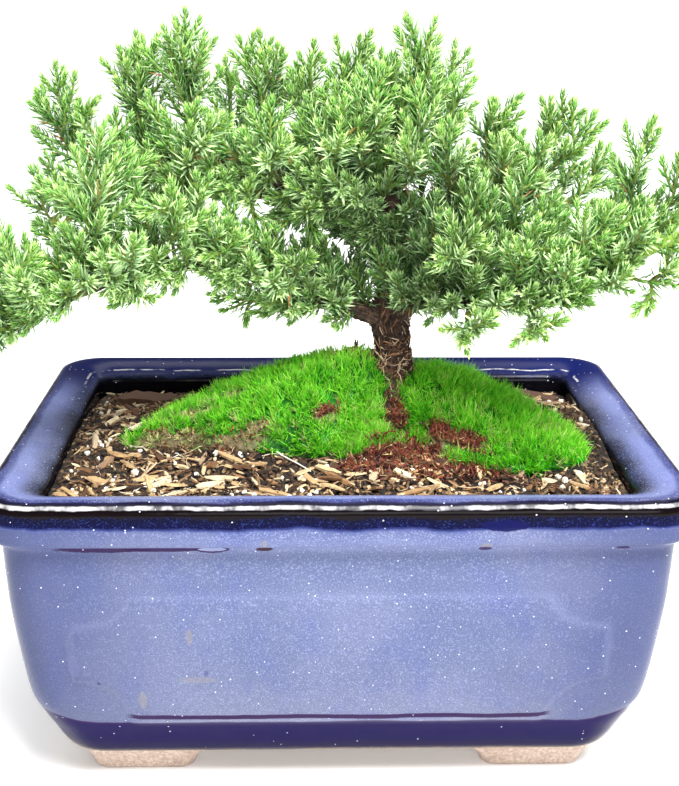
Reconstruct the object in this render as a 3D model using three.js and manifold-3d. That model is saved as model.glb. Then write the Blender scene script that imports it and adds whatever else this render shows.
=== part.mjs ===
// A juniper bonsai in a rectangular glazed pot, in millimetres, +Z up.
// The pot stands on its four feet at z = 0, with its long side along X and its front at -Y.
import * as THREE from 'three';
import { mergeVertices } from 'three/addons/utils/BufferGeometryUtils.js';
import Module from 'manifold-3d';

const wasm = await Module();
wasm.setup();

// Sizes of the pot
const RIM_LENGTH = 203;
const RIM_WIDTH = 150;
const FOOT_HEIGHT = 8.7;
const FLOOR_TOP = 15;
const CORNER_STEPS = 4;
// Outside of the pot from the underside to the crest of the rim: height, inset, corner radius
const POT_OUTSIDE = [
  [8.7, 22, 10],
  [11.5, 17.6, 12],
  [15, 15.7, 12],
  [20, 13.7, 12],
  [27, 10.9, 12],
  [35, 8.6, 12],
  [59, 5.8, 12],
  [72, 5, 12],
  [83.5, 4.4, 12],
  [85.4, 2.4, 13],
  [86.7, 0.4, 14],
  [92, 0, 14],
  [96.8, 0.3, 14],
  [98.5, 1.6, 13],
  [99, 3.6, 12],
];
// From the crest down the inside to the floor
const POT_INSIDE = [
  [98.3, 8, 10],
  [96.6, 13, 7],
  [95.6, 14.9, 6],
  [93.8, 16, 6],
  [60, 16.4, 6],
  [35, 17.6, 7],
  [22, 22, 8],
  [16.4, 28, 8],
  [FLOOR_TOP, 32, 8],
];
// Rings of the outside that make up the wall below the rim
const WALL_RINGS = 9;
const PANEL_RISE = 0.9;
const PANEL_ROOT = 1;
const PANEL_TOP = 69;
const PANEL_BOTTOM = 25;
const PANEL_SIDE_TOP = 59;
const PANEL_SIDE_BOTTOM = 41;
const PANEL_END = 24;
const PANEL_NOTCH = 17;
// Curve of the panel's hollow corners: how far the middle point lies from one end to the other
const NOTCH_NEAR = 0.25;
const NOTCH_FAR = 0.7;
// One foot, level by level: height, inner and outer X, inner and outer Y
const FOOT_LEVELS = [
  [0, 45.5, 75.5, 31, 49],
  [0.7, 44.9, 76.2, 30.4, 49.7],
  [5, 43, 77.6, 28.5, 51],
  [FOOT_HEIGHT - 0.4, 39, 78.6, 24.5, 52],
  [FOOT_HEIGHT + 3.3, 37, 78.6, 22.5, 52],
];
const FOOT_CORNER = 3;
const FOOT_OUTER_CORNER = 4;
const DRAIN_RADIUS = 6;
const DRAIN_X = 36;
const DRAIN_SIDES = 12;
const DRAIN_LENGTH = 30;

// Gap that touching pieces keep, and the wider one beside curved faces
const SEAT_GAP = 0.3;
const WALL_GAP = 0.35;

// Soil: a flat bed with a mound under the tree
const SOIL_LEVEL = 92;
const MOUND_HEIGHT = 24;
const MOUND_X = 9;
const MOUND_Y = 3;
const MOUND_SPREAD_X = 40;
const MOUND_SPREAD_Y = 21;
// Rings of the pot's inside that the soil lies against
const BURIED_RINGS = 5;
const SOIL_RINGS = [0.85, 0.68, 0.52, 0.37, 0.23, 0.1];
const CHIP_COUNT = 26;
const GRIT_COUNT = 12;
const CHIP_LENGTH = [4, 7];
const CHIP_WIDTH = [2, 3.2];
const CHIP_THICKNESS = 1.5;
const CHIP_TILT = 0.25;
const CHIP_LIFT = 0.25;
const GRIT_LIFT = 0.3;
const CHIP_MARGIN = 5;
const GRIT_MARGIN = 3;
const TRUNK_CLEAR = 20;
const OPEN_HALF_LENGTH = 80;
const OPEN_HALF_WIDTH = 54;
const GRIT_RADIUS = 1.3;

// Moss cushions: spine points with half widths
const MOSS_LEFT = [
  [-66, -15, 3],
  [-52, -12, 10],
  [-36, -9, 17],
  [-18, -8, 22],
  [-4, -9, 24],
  [7, -12, 20],
  [13, -15, 12],
];
const MOSS_RIGHT = [
  [21, -3, 9],
  [30, -7, 17],
  [42, -13, 21],
  [55, -19, 20],
  [68, -23, 13],
  [80, -27, 3],
];
// Dry red-brown moss along the foot of the two green cushions
const MOSS_DRY = [
  [2, -39, 2],
  [12, -37, 7],
  [26, -36, 11],
  [40, -41, 8],
  [52, -46, 4],
  [58, -47, 2],
];
const MOSS_THICKNESS = 3.4;
const MOSS_EDGE = 0.8;
const MOSS_TUFT = 3.2;
// Depth to which a cushion is drawn before the soil is cut away from it
const MOSS_DEPTH = 8;
const MOSS_END_SLOPE = 2.2;
const TUFT_PLACE = [0.3, 0.7];
const TUFT_SPREAD = [0.7, 1.2];
const MOSS_CELLS_ALONG = 14;
const MOSS_CELLS_ACROSS = 7;
const DRY_THICKNESS = 1.4;
const DRY_TUFT = 1.6;
const DRY_CELLS_ALONG = 9;
const DRY_CELLS_ACROSS = 3;
const DRY_MARGIN = 0.8;
const DRY_CUT_LIFT = 6;

// Needles stand in whorls of three on each shoot
const WHORL_STEP = 3.1;
const NEEDLE_LENGTH = 4.8;
const NEEDLE_SHORTER = 0.72;
const NEEDLE_LEAN = 0.86;
const STEM_RADIUS = 0.95;
const TIP_RADIUS = 0.55;
const BUD_LENGTH = 3.4;
const TWIG_RADIUS = 1.15;
const BARE_STEPS = 1;
const CLEARANCE = 0.35;
// Needle as spheres for the room it takes: share of its length, radius
const NEEDLE_SAMPLES = [[0.2, 1.05], [0.45, 0.75], [0.7, 0.42], [1, 0.06]];
const NEEDLE_LEAN_SPREAD = [0.85, 1.15];
const NEEDLE_LENGTH_SPREAD = [0.88, 1.1];
const STEM_ROOM = 1.35;
const STEM_BEND = 0.45;
const LIMB_ROOM = 1.1;
const LEAST_STEM_POINTS = 4;
const SEED = 5784;
const RANDOM_FACTOR = 16807;
const RANDOM_MODULUS = 2147483647;

// Wood: each limb is a list of points with a radius, the first one inside what it grows from
const TRUNK = [
  [18, 2, 72, 6],
  [18, 0, 96, 8],
  [18, -2, 107, 7.4],
  [18, -3, 113, 6],
  [18, -3, 118, 5.3],
  [18, -2, 124, 4.7],
  [17, 0, 131, 5.6],
  [18, 1, 138, 5.4],
  [19, 2, 147, 4.8],
  [18, 2, 156, 4.2],
  [16, 1, 164, 3.8],
];
const TRUNK_SIDES = 9;
const TRUNK_ROUGHNESS = 0.1;
const ROOTS = [
  [[18, -3, 113, 4.4], [18, -11, 110, 3.2], [17, -18, 105.5, 2.3], [15, -26, 100, 1.2]],
  [[19, -2, 112, 4], [25, -8, 111, 2.4], [29, -13, 107, 1.4]],
  [[17, -1, 113, 4], [9, 4, 114, 2.6], [1, 8, 112, 1.4]],
];
const ROOT_SIDES = 6;
const LIMB_ROUGHNESS = 0.08;
// Wave of the bark's swellings round a limb and along it
const BARK_TURN = 2.4;
const BARK_STEP = 1.7;
const LIMBS = {
  low_left: [
    [17, 0, 132, 4.6],
    [7, -1, 135.5, 3.1],
    [-1, -3, 137.5, 2.3],
    [-14, -8, 144, 1.9],
    [-34, -18, 152, 1.7],
    [-54, -31, 156, 1.5],
    [-70, -42, 152, 1.4],
    [-85, -46, 146, 1.2],
    [-97, -47, 141, 1.1],
  ],
  low_side: [
    [-1, -3, 137.3, 1.8],
    [-10, -4, 138.5, 1.3],
    [-17, -5, 138.5, 1.1],
  ],
  upper_left: [
    [18, 1, 158, 3.7],
    [12, -1, 168, 3.2],
    [3, -2, 173, 2.6],
    [-12, -2, 174.5, 2.1],
    [-30, 1, 178, 1.9],
    [-48, 2, 179, 1.6],
    [-66, 3, 177, 1.4],
    [-78, 0, 171, 1.2],
    [-84, -8, 163, 1],
  ],
  left_front: [
    [-30, 1, 178, 1.5],
    [-42, -8, 172, 1.3],
    [-56, -12, 166, 1],
  ],
  crown: [
    [17, 1, 158, 3.4],
    [12, 2, 172, 2.3],
    [12, 2, 184, 1.5],
  ],
  upper_right: [
    [19, 1, 148, 3.8],
    [28, 0, 163, 2.5],
    [42, -1, 172, 1.9],
    [56, 0, 175, 1.5],
    [66, 1, 171, 1.2],
  ],
  low_right: [
    [18, -1, 134, 3.8],
    [26, -12, 141, 2.5],
    [38, -27, 144, 2],
    [54, -34, 146, 1.7],
    [68, -39, 149, 1.5],
    [78, -43, 158, 1.3],
    [82, -42, 167, 1.1],
  ],
  rear_left: [
    [17, 2, 148, 3.8],
    [4, 20, 160, 2.5],
    [-16, 36, 165, 1.9],
    [-40, 42, 166, 1.6],
    [-66, 38, 164, 1.3],
    [-82, 30, 160, 1.1],
  ],
  rear_right: [
    [19, 2, 146, 3.8],
    [27, 20, 158, 2.5],
    [36, 38, 166, 1.9],
    [56, 38, 166, 1.5],
    [76, 28, 164, 1.2],
  ],
};
const LIMB_SIDES = 5;
// Cut end of an old limb
const STUB = [
  [13, 0, 166, 2.8],
  [17, -8, 172, 2.5],
];

// Sprays, limb by limb: the root where it leaves the wood, then the tip of each shoot
const SPRAYS = {
  upper_left: [
    [[-79, 4, 177], [-87, 8, 213], [-93, 4, 205], [-73, 2, 202]],
    [[-61, 6, 184], [-62, 12, 222], [-67, 6, 218], [-55, 14, 221]],
    [[-47, 3, 186], [-46, 5, 229], [-40, 8, 222], [-53, 2, 224]],
    [[-34, 8, 184], [-35, 18, 214]],
    [[-24, 5, 183], [-24, 10, 223], [-31, 12, 221], [-18, 6, 219]],
    [[-10, 3, 182], [-7, 10, 220], [-13, 12, 213]],
    [[-86, -13, 166], [-91, -12, 184]],
    [[-20, -6, 178], [-20, -8, 204], [-14, -24, 193]],
    [[-2, -7, 178], [3, -10, 207], [1, -26, 194]],
    [[-9, -6, 170], [-10, -20, 172], [-6, -14, 158]],
    [[-25, -3, 172], [-28, -19, 178], [-24, -14, 160]],
  ],
  left_front: [
    [[-44, -12, 177], [-41, -18, 204], [-30, -26, 200]],
    [[-60, -13, 169], [-56, -16, 189]],
    [[-50, -15, 166], [-51, -29, 171]],
  ],
  crown: [
    [[6, 6, 190], [10, 6, 223], [3, 8, 216]],
    [[18, 0, 188], [21, 2, 228], [28, 4, 222], [32, -4, 211]],
    [[9, -4, 181], [13, -8, 214], [5, -16, 198]],
    [[18, -6, 176], [24, -12, 209], [18, -26, 193]],
  ],
  upper_right: [
    [[33, -3, 178], [41, -6, 210]],
    [[47, 2, 181], [48, 4, 203], [58, 6, 204]],
    [[63, 4, 180], [67, 8, 203], [73, 0, 203]],
    [[64, -4, 178], [79, -6, 200], [74, -14, 190]],
    [[35, -9, 172], [32, -18, 199]],
    [[49, -7, 175], [49, -18, 194]],
    [[59, -7, 173], [59, -18, 195]],
    [[71, 4, 168], [80, 8, 181], [84, 2, 168]],
    [[30, -6, 158], [36, -16, 166], [33, -18, 154]],
  ],
  low_left: [
    [[-69, -42, 157], [-65, -38, 200], [-58, -30, 191], [-82, -44, 184]],
    [[-86, -50, 149], [-94, -52, 176], [-97, -58, 162], [-80, -58, 166]],
    [[-50, -33, 161], [-47, -38, 184], [-40, -44, 172], [-56, -48, 174]],
    [[-100, -48, 141], [-118, -50, 144], [-101, -46, 126]],
    [[-58, -36, 151], [-66, -46, 148], [-52, -46, 148]],
    [[-35, -22, 156], [-40, -36, 160], [-27, -30, 166], [-38, -20, 174]],
    [[-14, -12, 148], [-18, -24, 158], [-6, -20, 158]],
  ],
  low_side: [
    [[-21, -6, 139], [-42, -10, 143], [-30, -8, 130]],
  ],
  low_right: [
    [[38, -29, 149], [30, -38, 175], [26, -48, 163], [40, -44, 168]],
    [[56, -36, 150], [56, -38, 174], [48, -46, 166], [63, -46, 162]],
    [[50, -28, 149], [54, -20, 169], [44, -22, 166]],
    [[70, -41, 154], [78, -46, 178], [65, -46, 166]],
    [[56, -39, 144], [52, -58, 140], [64, -56, 146]],
    [[38, -32, 141], [34, -52, 137], [43, -54, 148]],
    [[82, -46, 156], [98, -52, 158], [80, -58, 146], [91, -54, 173]],
    [[85, -44, 170], [108, -54, 178], [92, -50, 193]],
    [[82, -40, 172], [87, -40, 202], [79, -32, 188]],
  ],
  rear_left: [
    [[-60, 43, 169], [-64, 52, 194], [-52, 56, 186]],
    [[-32, 45, 170], [-33, 54, 198], [-42, 60, 180]],
    [[-4, 33, 169], [-6, 46, 202], [4, 54, 186]],
    [[-85, 30, 163], [-98, 36, 182], [-104, 30, 168]],
    [[-20, 42, 162], [-14, 66, 168], [-24, 58, 150]],
    [[-52, 45, 160], [-58, 66, 162], [-46, 58, 150]],
  ],
  rear_right: [
    [[37, 41, 172], [41, 52, 218], [32, 44, 210]],
    [[54, 41, 171], [58, 50, 192], [68, 54, 182]],
    [[79, 26, 167], [92, 28, 186], [100, 34, 170]],
    [[42, 42, 162], [44, 66, 168], [36, 58, 150], [54, 60, 156]],
  ],
};

// Seeded numbers, the same at every run
let state = SEED;
function random() {
  state = (state * RANDOM_FACTOR) % RANDOM_MODULUS;
  return state / RANDOM_MODULUS;
}

function between(low, high) {
  return low + (high - low) * random();
}

function vector(values) {
  return new THREE.Vector3(values[0], values[1], values[2]);
}

// A closed mesh as a solid, and a solid as a mesh geometry
function solidOf(geometry) {
  const bare = geometry.clone();
  bare.deleteAttribute('normal');
  bare.deleteAttribute('uv');
  const merged = mergeVertices(bare, 1e-4);
  return new wasm.Manifold(new wasm.Mesh({
    numProp: 3,
    vertProperties: new Float32Array(merged.attributes.position.array),
    triVerts: new Uint32Array(merged.index.array),
  }));
}

// The largest body alone: loose scraps go, and a sealed hollow is filled
function mainBody(solid) {
  return solid.decompose().sort((a, b) => b.volume() - a.volume())[0];
}

function geometryOf(solid) {
  const mesh = mainBody(solid).getMesh();
  const raw = new THREE.BufferGeometry();
  raw.setAttribute('position', new THREE.BufferAttribute(new Float32Array(mesh.vertProperties), 3));
  raw.setIndex(new THREE.BufferAttribute(new Uint32Array(mesh.triVerts), 1));
  raw.computeVertexNormals();
  return raw;
}

function meshOf(points, faces) {
  const geometry = new THREE.BufferGeometry();
  const flat = points.flatMap((p) => [p.x, p.y, p.z]);
  geometry.setAttribute('position', new THREE.Float32BufferAttribute(flat, 3));
  geometry.setIndex(faces.flat());
  return geometry;
}

// A closed skin through rings of points that turn anticlockwise seen from the last ring's side
function loft(rings) {
  const count = rings[0].length;
  const faces = [];
  for (let k = 0; k + 1 < rings.length; k += 1) {
    for (let i = 0; i < count; i += 1) {
      const j = (i + 1) % count;
      const low = k * count;
      const high = low + count;
      faces.push([low + i, low + j, high + j], [low + i, high + j, high + i]);
    }
  }
  const last = (rings.length - 1) * count;
  for (let i = 1; i + 1 < count; i += 1) {
    faces.push([0, i + 1, i], [last, last + i, last + i + 1]);
  }
  return meshOf(rings.flat(), faces);
}

// A rectangle with round corners at one height
function roundedRing(halfX, halfY, radius, z) {
  const ring = [];
  const corners = [[1, 1], [-1, 1], [-1, -1], [1, -1]];
  corners.forEach(([sx, sy], quarter) => {
    for (let i = 0; i <= CORNER_STEPS; i += 1) {
      const angle = (quarter + i / CORNER_STEPS) * Math.PI / 2;
      const x = sx * (halfX - radius) + radius * Math.cos(angle);
      const y = sy * (halfY - radius) + radius * Math.sin(angle);
      ring.push(new THREE.Vector3(x, y, z));
    }
  });
  return ring;
}

function profileRings(profile, grow) {
  return profile.map(([z, inset, radius]) => (
    roundedRing(RIM_LENGTH / 2 - inset + grow, RIM_WIDTH / 2 - inset + grow, radius, z)
  ));
}

// Outline of the raised panel on a wall: a rectangle whose corners are hollow curves
function panelOutline(halfLength) {
  const shape = new THREE.Shape();
  const inner = halfLength - PANEL_NOTCH;
  const turns = [
    [inner, PANEL_TOP, halfLength, PANEL_SIDE_TOP],
    [halfLength, PANEL_SIDE_BOTTOM, inner, PANEL_BOTTOM],
    [-inner, PANEL_BOTTOM, -halfLength, PANEL_SIDE_BOTTOM],
    [-halfLength, PANEL_SIDE_TOP, -inner, PANEL_TOP],
  ];
  turns.forEach(([x0, z0, x1, z1], turn) => {
    const even = turn % 2 === 0;
    const bendX = THREE.MathUtils.lerp(x0, x1, even ? NOTCH_NEAR : 1 - NOTCH_NEAR);
    const bendZ = THREE.MathUtils.lerp(z0, z1, even ? NOTCH_FAR : 1 - NOTCH_FAR);
    if (turn === 0) {
      shape.moveTo(x0, z0);
    } else {
      shape.lineTo(x0, z0);
    }
    shape.lineTo(bendX, bendZ);
    shape.lineTo(x1, z1);
  });
  return shape;
}

function panelPrism(halfLength, reach, turn) {
  const settings = { depth: reach, bevelEnabled: false };
  const prism = new THREE.ExtrudeGeometry(panelOutline(halfLength), settings);
  prism.rotateX(Math.PI / 2);
  prism.rotateZ(turn);
  return solidOf(prism);
}

function panels() {
  const swollen = solidOf(loft(profileRings(POT_OUTSIDE.slice(0, WALL_RINGS), PANEL_RISE)));
  const core = solidOf(loft(profileRings(POT_OUTSIDE.slice(0, WALL_RINGS), -PANEL_ROOT)));
  const skin = swollen.subtract(core);
  const long = RIM_LENGTH / 2 - PANEL_END;
  const short = RIM_WIDTH / 2 - PANEL_END;
  return [0, 1, 2, 3].map((side) => {
    const half = side % 2 === 0 ? long : short;
    return skin.intersect(panelPrism(half, RIM_LENGTH, side * Math.PI / 2));
  });
}

// One foot, narrower where it stands, with a flare on its inner sides
function foot(sx, sy) {
  const rings = FOOT_LEVELS.map(([z, x0, x1, y0, y1]) => {
    const ring = [
      new THREE.Vector3(sx * x0, sy * y0, z),
      new THREE.Vector3(sx * (x1 - FOOT_CORNER), sy * y0, z),
      new THREE.Vector3(sx * x1, sy * (y0 + FOOT_CORNER), z),
      new THREE.Vector3(sx * x1, sy * (y1 - FOOT_OUTER_CORNER), z),
      new THREE.Vector3(sx * (x1 - FOOT_OUTER_CORNER), sy * y1, z),
      new THREE.Vector3(sx * (x0 + FOOT_CORNER), sy * y1, z),
      new THREE.Vector3(sx * x0, sy * (y1 - FOOT_CORNER), z),
    ];
    return sx * sy > 0 ? ring : ring.reverse();
  });
  return solidOf(loft(rings));
}

function drainHole(x) {
  const bore = new THREE.CylinderGeometry(DRAIN_RADIUS, DRAIN_RADIUS, DRAIN_LENGTH, DRAIN_SIDES);
  bore.rotateX(Math.PI / 2);
  bore.translate(x, 0, FLOOR_TOP);
  return solidOf(bore);
}

function potMesh() {
  let pot = solidOf(loft([...profileRings(POT_OUTSIDE, 0), ...profileRings(POT_INSIDE, 0)]));
  panels().forEach((panel) => {
    pot = pot.add(panel);
  });
  [[1, 1], [-1, 1], [-1, -1], [1, -1]].forEach(([sx, sy]) => {
    pot = pot.add(foot(sx, sy));
  });
  [-DRAIN_X, DRAIN_X].forEach((x) => {
    pot = pot.subtract(drainHole(x));
  });
  const glaze = new THREE.MeshStandardMaterial({ color: 0x6674a6, roughness: 0.16, metalness: 0 });
  return namedMesh('pot', pot, glaze);
}

function namedMesh(name, solid, material) {
  const mesh = new THREE.Mesh(geometryOf(solid), material);
  mesh.name = name;
  return mesh;
}

// Height of the soil's surface
function soilHeight(x, y) {
  const dx = (x - MOUND_X) / MOUND_SPREAD_X;
  const dy = (y - MOUND_Y) / MOUND_SPREAD_Y;
  return SOIL_LEVEL + MOUND_HEIGHT * Math.exp(-(dx * dx + dy * dy) / 2);
}

// Frames along a path, turned as little as possible from one point to the next
function pathFrames(points, leave) {
  const frames = [];
  let side = null;
  points.forEach((point, k) => {
    const before = points[Math.max(k - 1, 0)];
    const after = points[Math.min(k + 1, points.length - 1)];
    const along = k === 0 && leave ? leave.clone() : after.clone().sub(before).normalize();
    if (side === null) {
      side = Math.abs(along.z) > 0.8 ? new THREE.Vector3(1, 0, 0) : new THREE.Vector3(0, 0, 1);
    }
    side = side.clone().addScaledVector(along, -side.dot(along)).normalize();
    const up = along.clone().cross(side);
    frames.push({ point, along, side, up });
  });
  return frames;
}

function ringAt(frame, radius, sides, turn) {
  const ring = [];
  for (let i = 0; i < sides; i += 1) {
    const angle = turn + i * 2 * Math.PI / sides;
    const spoke = frame.side.clone().multiplyScalar(Math.cos(angle) * radius);
    spoke.addScaledVector(frame.up, Math.sin(angle) * radius);
    ring.push(frame.point.clone().add(spoke));
  }
  return ring;
}

function limbSolid(path, sides, grow, rough) {
  const frames = pathFrames(path.map(vector));
  frames[0].point.addScaledVector(frames[0].along, -grow);
  frames[frames.length - 1].point.addScaledVector(frames[frames.length - 1].along, grow);
  const rings = frames.map((frame, k) => {
    const ring = ringAt(frame, path[k][3] + grow, sides, 0);
    return ring.map((point, i) => {
      const swell = 1 + rough * Math.sin(i * BARK_TURN + k * BARK_STEP);
      return frame.point.clone().lerp(point, swell);
    });
  });
  return solidOf(loft(rings));
}

// Trunk with its surface roots, grown by a margin where something is cut to clear it
function trunkSolid(grow) {
  let solid = limbSolid(TRUNK, TRUNK_SIDES, grow, TRUNK_ROUGHNESS);
  ROOTS.forEach((root) => {
    solid = solid.add(limbSolid(root, ROOT_SIDES, grow, LIMB_ROUGHNESS));
  });
  return solid;
}

// Soil with bark chips and grit, and a plain hole for the trunk
function soilBase() {
  const walls = profileRings(POT_INSIDE.slice(-BURIED_RINGS).reverse(), -WALL_GAP);
  const rings = walls.map((ring) => ring.map((p) => p.setZ(p.z + WALL_GAP)));
  const edge = rings.pop();
  const top = (scale) => edge.map((p) => {
    const x = MOUND_X * (1 - scale) + p.x * scale;
    const y = MOUND_Y * (1 - scale) + p.y * scale;
    return new THREE.Vector3(x, y, soilHeight(x, y));
  });
  rings.push(top(1));
  SOIL_RINGS.forEach((scale) => {
    rings.push(top(scale));
  });
  return solidOf(loft(rings));
}

function distanceToSpine(spine, x, y) {
  let least = Infinity;
  for (let k = 0; k + 1 < spine.length; k += 1) {
    const [ax, ay, aw] = spine[k];
    const [bx, by, bw] = spine[k + 1];
    const t = THREE.MathUtils.clamp(
      ((x - ax) * (bx - ax) + (y - ay) * (by - ay)) / ((bx - ax) ** 2 + (by - ay) ** 2), 0, 1);
    const gap = Math.hypot(x - ax - t * (bx - ax), y - ay - t * (by - ay)) - (aw + t * (bw - aw));
    least = Math.min(least, gap);
  }
  return least;
}

function openGround(margin) {
  for (;;) {
    const x = between(-OPEN_HALF_LENGTH, OPEN_HALF_LENGTH);
    const y = between(-OPEN_HALF_WIDTH, OPEN_HALF_WIDTH);
    const clearOfMoss = [MOSS_LEFT, MOSS_RIGHT, MOSS_DRY].every((spine) => (
      distanceToSpine(spine, x, y) > margin
    ));
    if (clearOfMoss && Math.hypot(x - MOUND_X, y - MOUND_Y) > TRUNK_CLEAR) {
      return [x, y];
    }
  }
}

function soilMesh() {
  let soil = soilBase();
  for (let i = 0; i < CHIP_COUNT; i += 1) {
    const chip = new THREE.BoxGeometry(between(...CHIP_LENGTH), between(...CHIP_WIDTH), CHIP_THICKNESS);
    const [x, y] = openGround(CHIP_MARGIN);
    chip.rotateY(between(-CHIP_TILT, CHIP_TILT));
    chip.rotateX(between(-CHIP_TILT, CHIP_TILT));
    chip.rotateZ(between(0, Math.PI));
    chip.translate(x, y, soilHeight(x, y) + CHIP_LIFT);
    soil = soil.add(solidOf(chip));
  }
  for (let i = 0; i < GRIT_COUNT; i += 1) {
    const grit = new THREE.OctahedronGeometry(GRIT_RADIUS);
    const [x, y] = openGround(GRIT_MARGIN);
    grit.rotateX(between(0, Math.PI));
    grit.rotateZ(between(0, Math.PI));
    grit.translate(x, y, soilHeight(x, y) + GRIT_LIFT);
    soil = soil.add(solidOf(grit));
  }
  soil = soil.subtract(trunkSolid(WALL_GAP));
  const earth = new THREE.MeshStandardMaterial({ color: 0x4a3426, roughness: 0.95, metalness: 0 });
  return namedMesh('soil', soil, earth);
}

// A moss cushion: a low mound along a spine, each cell of its top drawn up into a tuft
function mossSolid(spine, alongCount, acrossCount, thickness, tuft) {
  const curve = new THREE.CatmullRomCurve3(spine.map(([x, y, w]) => new THREE.Vector3(x, y, w)));
  const columns = alongCount + 1;
  const rows = acrossCount + 1;
  const points = [];
  const place = (u, v, lift) => {
    const at = curve.getPoint(u);
    const ahead = curve.getTangent(u);
    const across = new THREE.Vector2(-ahead.y, ahead.x).normalize();
    const x = at.x + across.x * v * at.z;
    const y = at.y + across.y * v * at.z;
    const ends = Math.min(1, Math.sin(Math.PI * u) * MOSS_END_SLOPE);
    const dome = Math.sqrt(Math.max(0, 1 - v * v)) * ends;
    return new THREE.Vector3(x, y, soilHeight(x, y) + MOSS_EDGE + thickness * dome + lift);
  };
  for (let i = 0; i < columns; i += 1) {
    for (let j = 0; j < rows; j += 1) {
      const u = i / alongCount;
      const v = -1 + 2 * j / acrossCount;
      points.push(place(u, v, 0));
    }
  }
  const flat = points.length;
  const faces = [];
  for (let i = 0; i < alongCount; i += 1) {
    for (let j = 0; j < acrossCount; j += 1) {
      const u = (i + between(...TUFT_PLACE)) / alongCount;
      const v = -1 + 2 * (j + between(...TUFT_PLACE)) / acrossCount;
      const tip = points.push(place(u, v, tuft * between(...TUFT_SPREAD))) - 1;
      const a = i * rows + j;
      const corners = [a, a + rows, a + rows + 1, a + 1];
      corners.forEach((corner, n) => {
        faces.push([corner, corners[(n + 1) % 4], tip]);
      });
    }
  }
  const deep = points.length;
  for (let k = 0; k < flat; k += 1) {
    points.push(new THREE.Vector3(points[k].x, points[k].y, SOIL_LEVEL - MOSS_DEPTH));
  }
  for (let i = 0; i < alongCount; i += 1) {
    for (let j = 0; j < acrossCount; j += 1) {
      const a = deep + i * rows + j;
      faces.push([a, a + 1, a + rows + 1], [a, a + rows + 1, a + rows]);
    }
  }
  const rim = [];
  for (let i = 0; i < columns; i += 1) {
    rim.push(i * rows);
  }
  for (let j = 1; j < rows; j += 1) {
    rim.push((columns - 1) * rows + j);
  }
  for (let i = columns - 2; i >= 0; i -= 1) {
    rim.push(i * rows + rows - 1);
  }
  for (let j = rows - 2; j > 0; j -= 1) {
    rim.push(j);
  }
  rim.forEach((a, n) => {
    const b = rim[(n + 1) % rim.length];
    faces.push([a, deep + a, b], [b, deep + a, deep + b]);
  });
  return solidOf(meshOf(points, faces));
}

function greenCushion(spine) {
  return mossSolid(spine, MOSS_CELLS_ALONG, MOSS_CELLS_ACROSS, MOSS_THICKNESS, MOSS_TUFT);
}

// Seated on the bare soil and cut clear of the trunk and its roots
function seated(cushion) {
  const lifted = soilBase().translate([0, 0, SEAT_GAP]);
  return cushion.subtract(lifted).subtract(trunkSolid(WALL_GAP));
}

function mossMeshes() {
  const left = greenCushion(MOSS_LEFT);
  const right = greenCushion(MOSS_RIGHT);
  let dry = mossSolid(MOSS_DRY, DRY_CELLS_ALONG, DRY_CELLS_ACROSS, DRY_THICKNESS, DRY_TUFT);
  [MOSS_LEFT, MOSS_RIGHT].forEach((spine) => {
    const wider = spine.map(([x, y, w]) => [x, y, w + DRY_MARGIN]);
    const room = mossSolid(wider, MOSS_CELLS_ALONG, MOSS_CELLS_ACROSS, MOSS_THICKNESS, 0);
    dry = dry.subtract(room.translate([0, 0, DRY_CUT_LIFT]));
  });
  const green = new THREE.MeshStandardMaterial({ color: 0x55a51f, roughness: 0.9, metalness: 0 });
  const brown = new THREE.MeshStandardMaterial({ color: 0x7d4a34, roughness: 0.95, metalness: 0 });
  return [
    namedMesh('moss_left', seated(left), green),
    namedMesh('moss_right', seated(right), green.clone()),
    namedMesh('moss_dry', seated(dry), brown),
  ];
}

// Room already taken: spheres along the wood, the stems and the needles
const CELL = 6;
const taken = new Map();
function cellKey(x, y, z) {
  return `${Math.floor(x / CELL)},${Math.floor(y / CELL)},${Math.floor(z / CELL)}`;
}

function take(point, radius, owner, stem) {
  const key = cellKey(point.x, point.y, point.z);
  if (!taken.has(key)) {
    taken.set(key, []);
  }
  taken.get(key).push({ point, radius, owner, stem });
}

// Free of other pieces, and of the piece's own other stems where a stem is named
function isFree(point, radius, owner, stem) {
  for (let i = -2; i <= 2; i += 1) {
    for (let j = -2; j <= 2; j += 1) {
      for (let k = -2; k <= 2; k += 1) {
        const near = taken.get(cellKey(point.x + i * CELL, point.y + j * CELL, point.z + k * CELL));
        const hit = near && near.some((other) => (
          (other.owner !== owner || (stem !== undefined && other.stem !== stem))
          && other.point.distanceTo(point) < other.radius + radius + CLEARANCE
        ));
        if (hit) {
          return false;
        }
      }
    }
  }
  return true;
}

function takeLimb(path) {
  for (let k = 0; k + 1 < path.length; k += 1) {
    const a = vector(path[k]);
    const b = vector(path[k + 1]);
    const steps = Math.ceil(a.distanceTo(b));
    for (let n = 0; n <= steps; n += 1) {
      const t = n / steps;
      const radius = THREE.MathUtils.lerp(path[k][3], path[k + 1][3], t);
      take(a.clone().lerp(b, t), radius * LIMB_ROOM, 'wood');
    }
  }
}

// Nearest point of a limb's centre line to a spray's root, past the limb's own start
function nearestOnLimb(path, root) {
  let best = null;
  for (let k = 0; k + 1 < path.length; k += 1) {
    const line = new THREE.Line3(vector(path[k]), vector(path[k + 1]));
    const at = line.closestPointToPoint(root, true, new THREE.Vector3());
    if (best === null || at.distanceTo(root) < best.distanceTo(root)) {
      best = at;
    }
  }
  return best;
}

// The stem of a shoot, bent upward a little, as points one whorl apart
function shootPath(from, to, leave) {
  const length = from.distanceTo(to) - BUD_LENGTH;
  const end = from.clone().lerp(to, length / (length + BUD_LENGTH));
  const bend = from.clone().addScaledVector(leave, length * STEM_BEND);
  const curve = new THREE.QuadraticBezierCurve3(from, bend, end);
  const count = Math.max(LEAST_STEM_POINTS - 1, Math.round(length / WHORL_STEP));
  return curve.getSpacedPoints(count);
}

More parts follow.
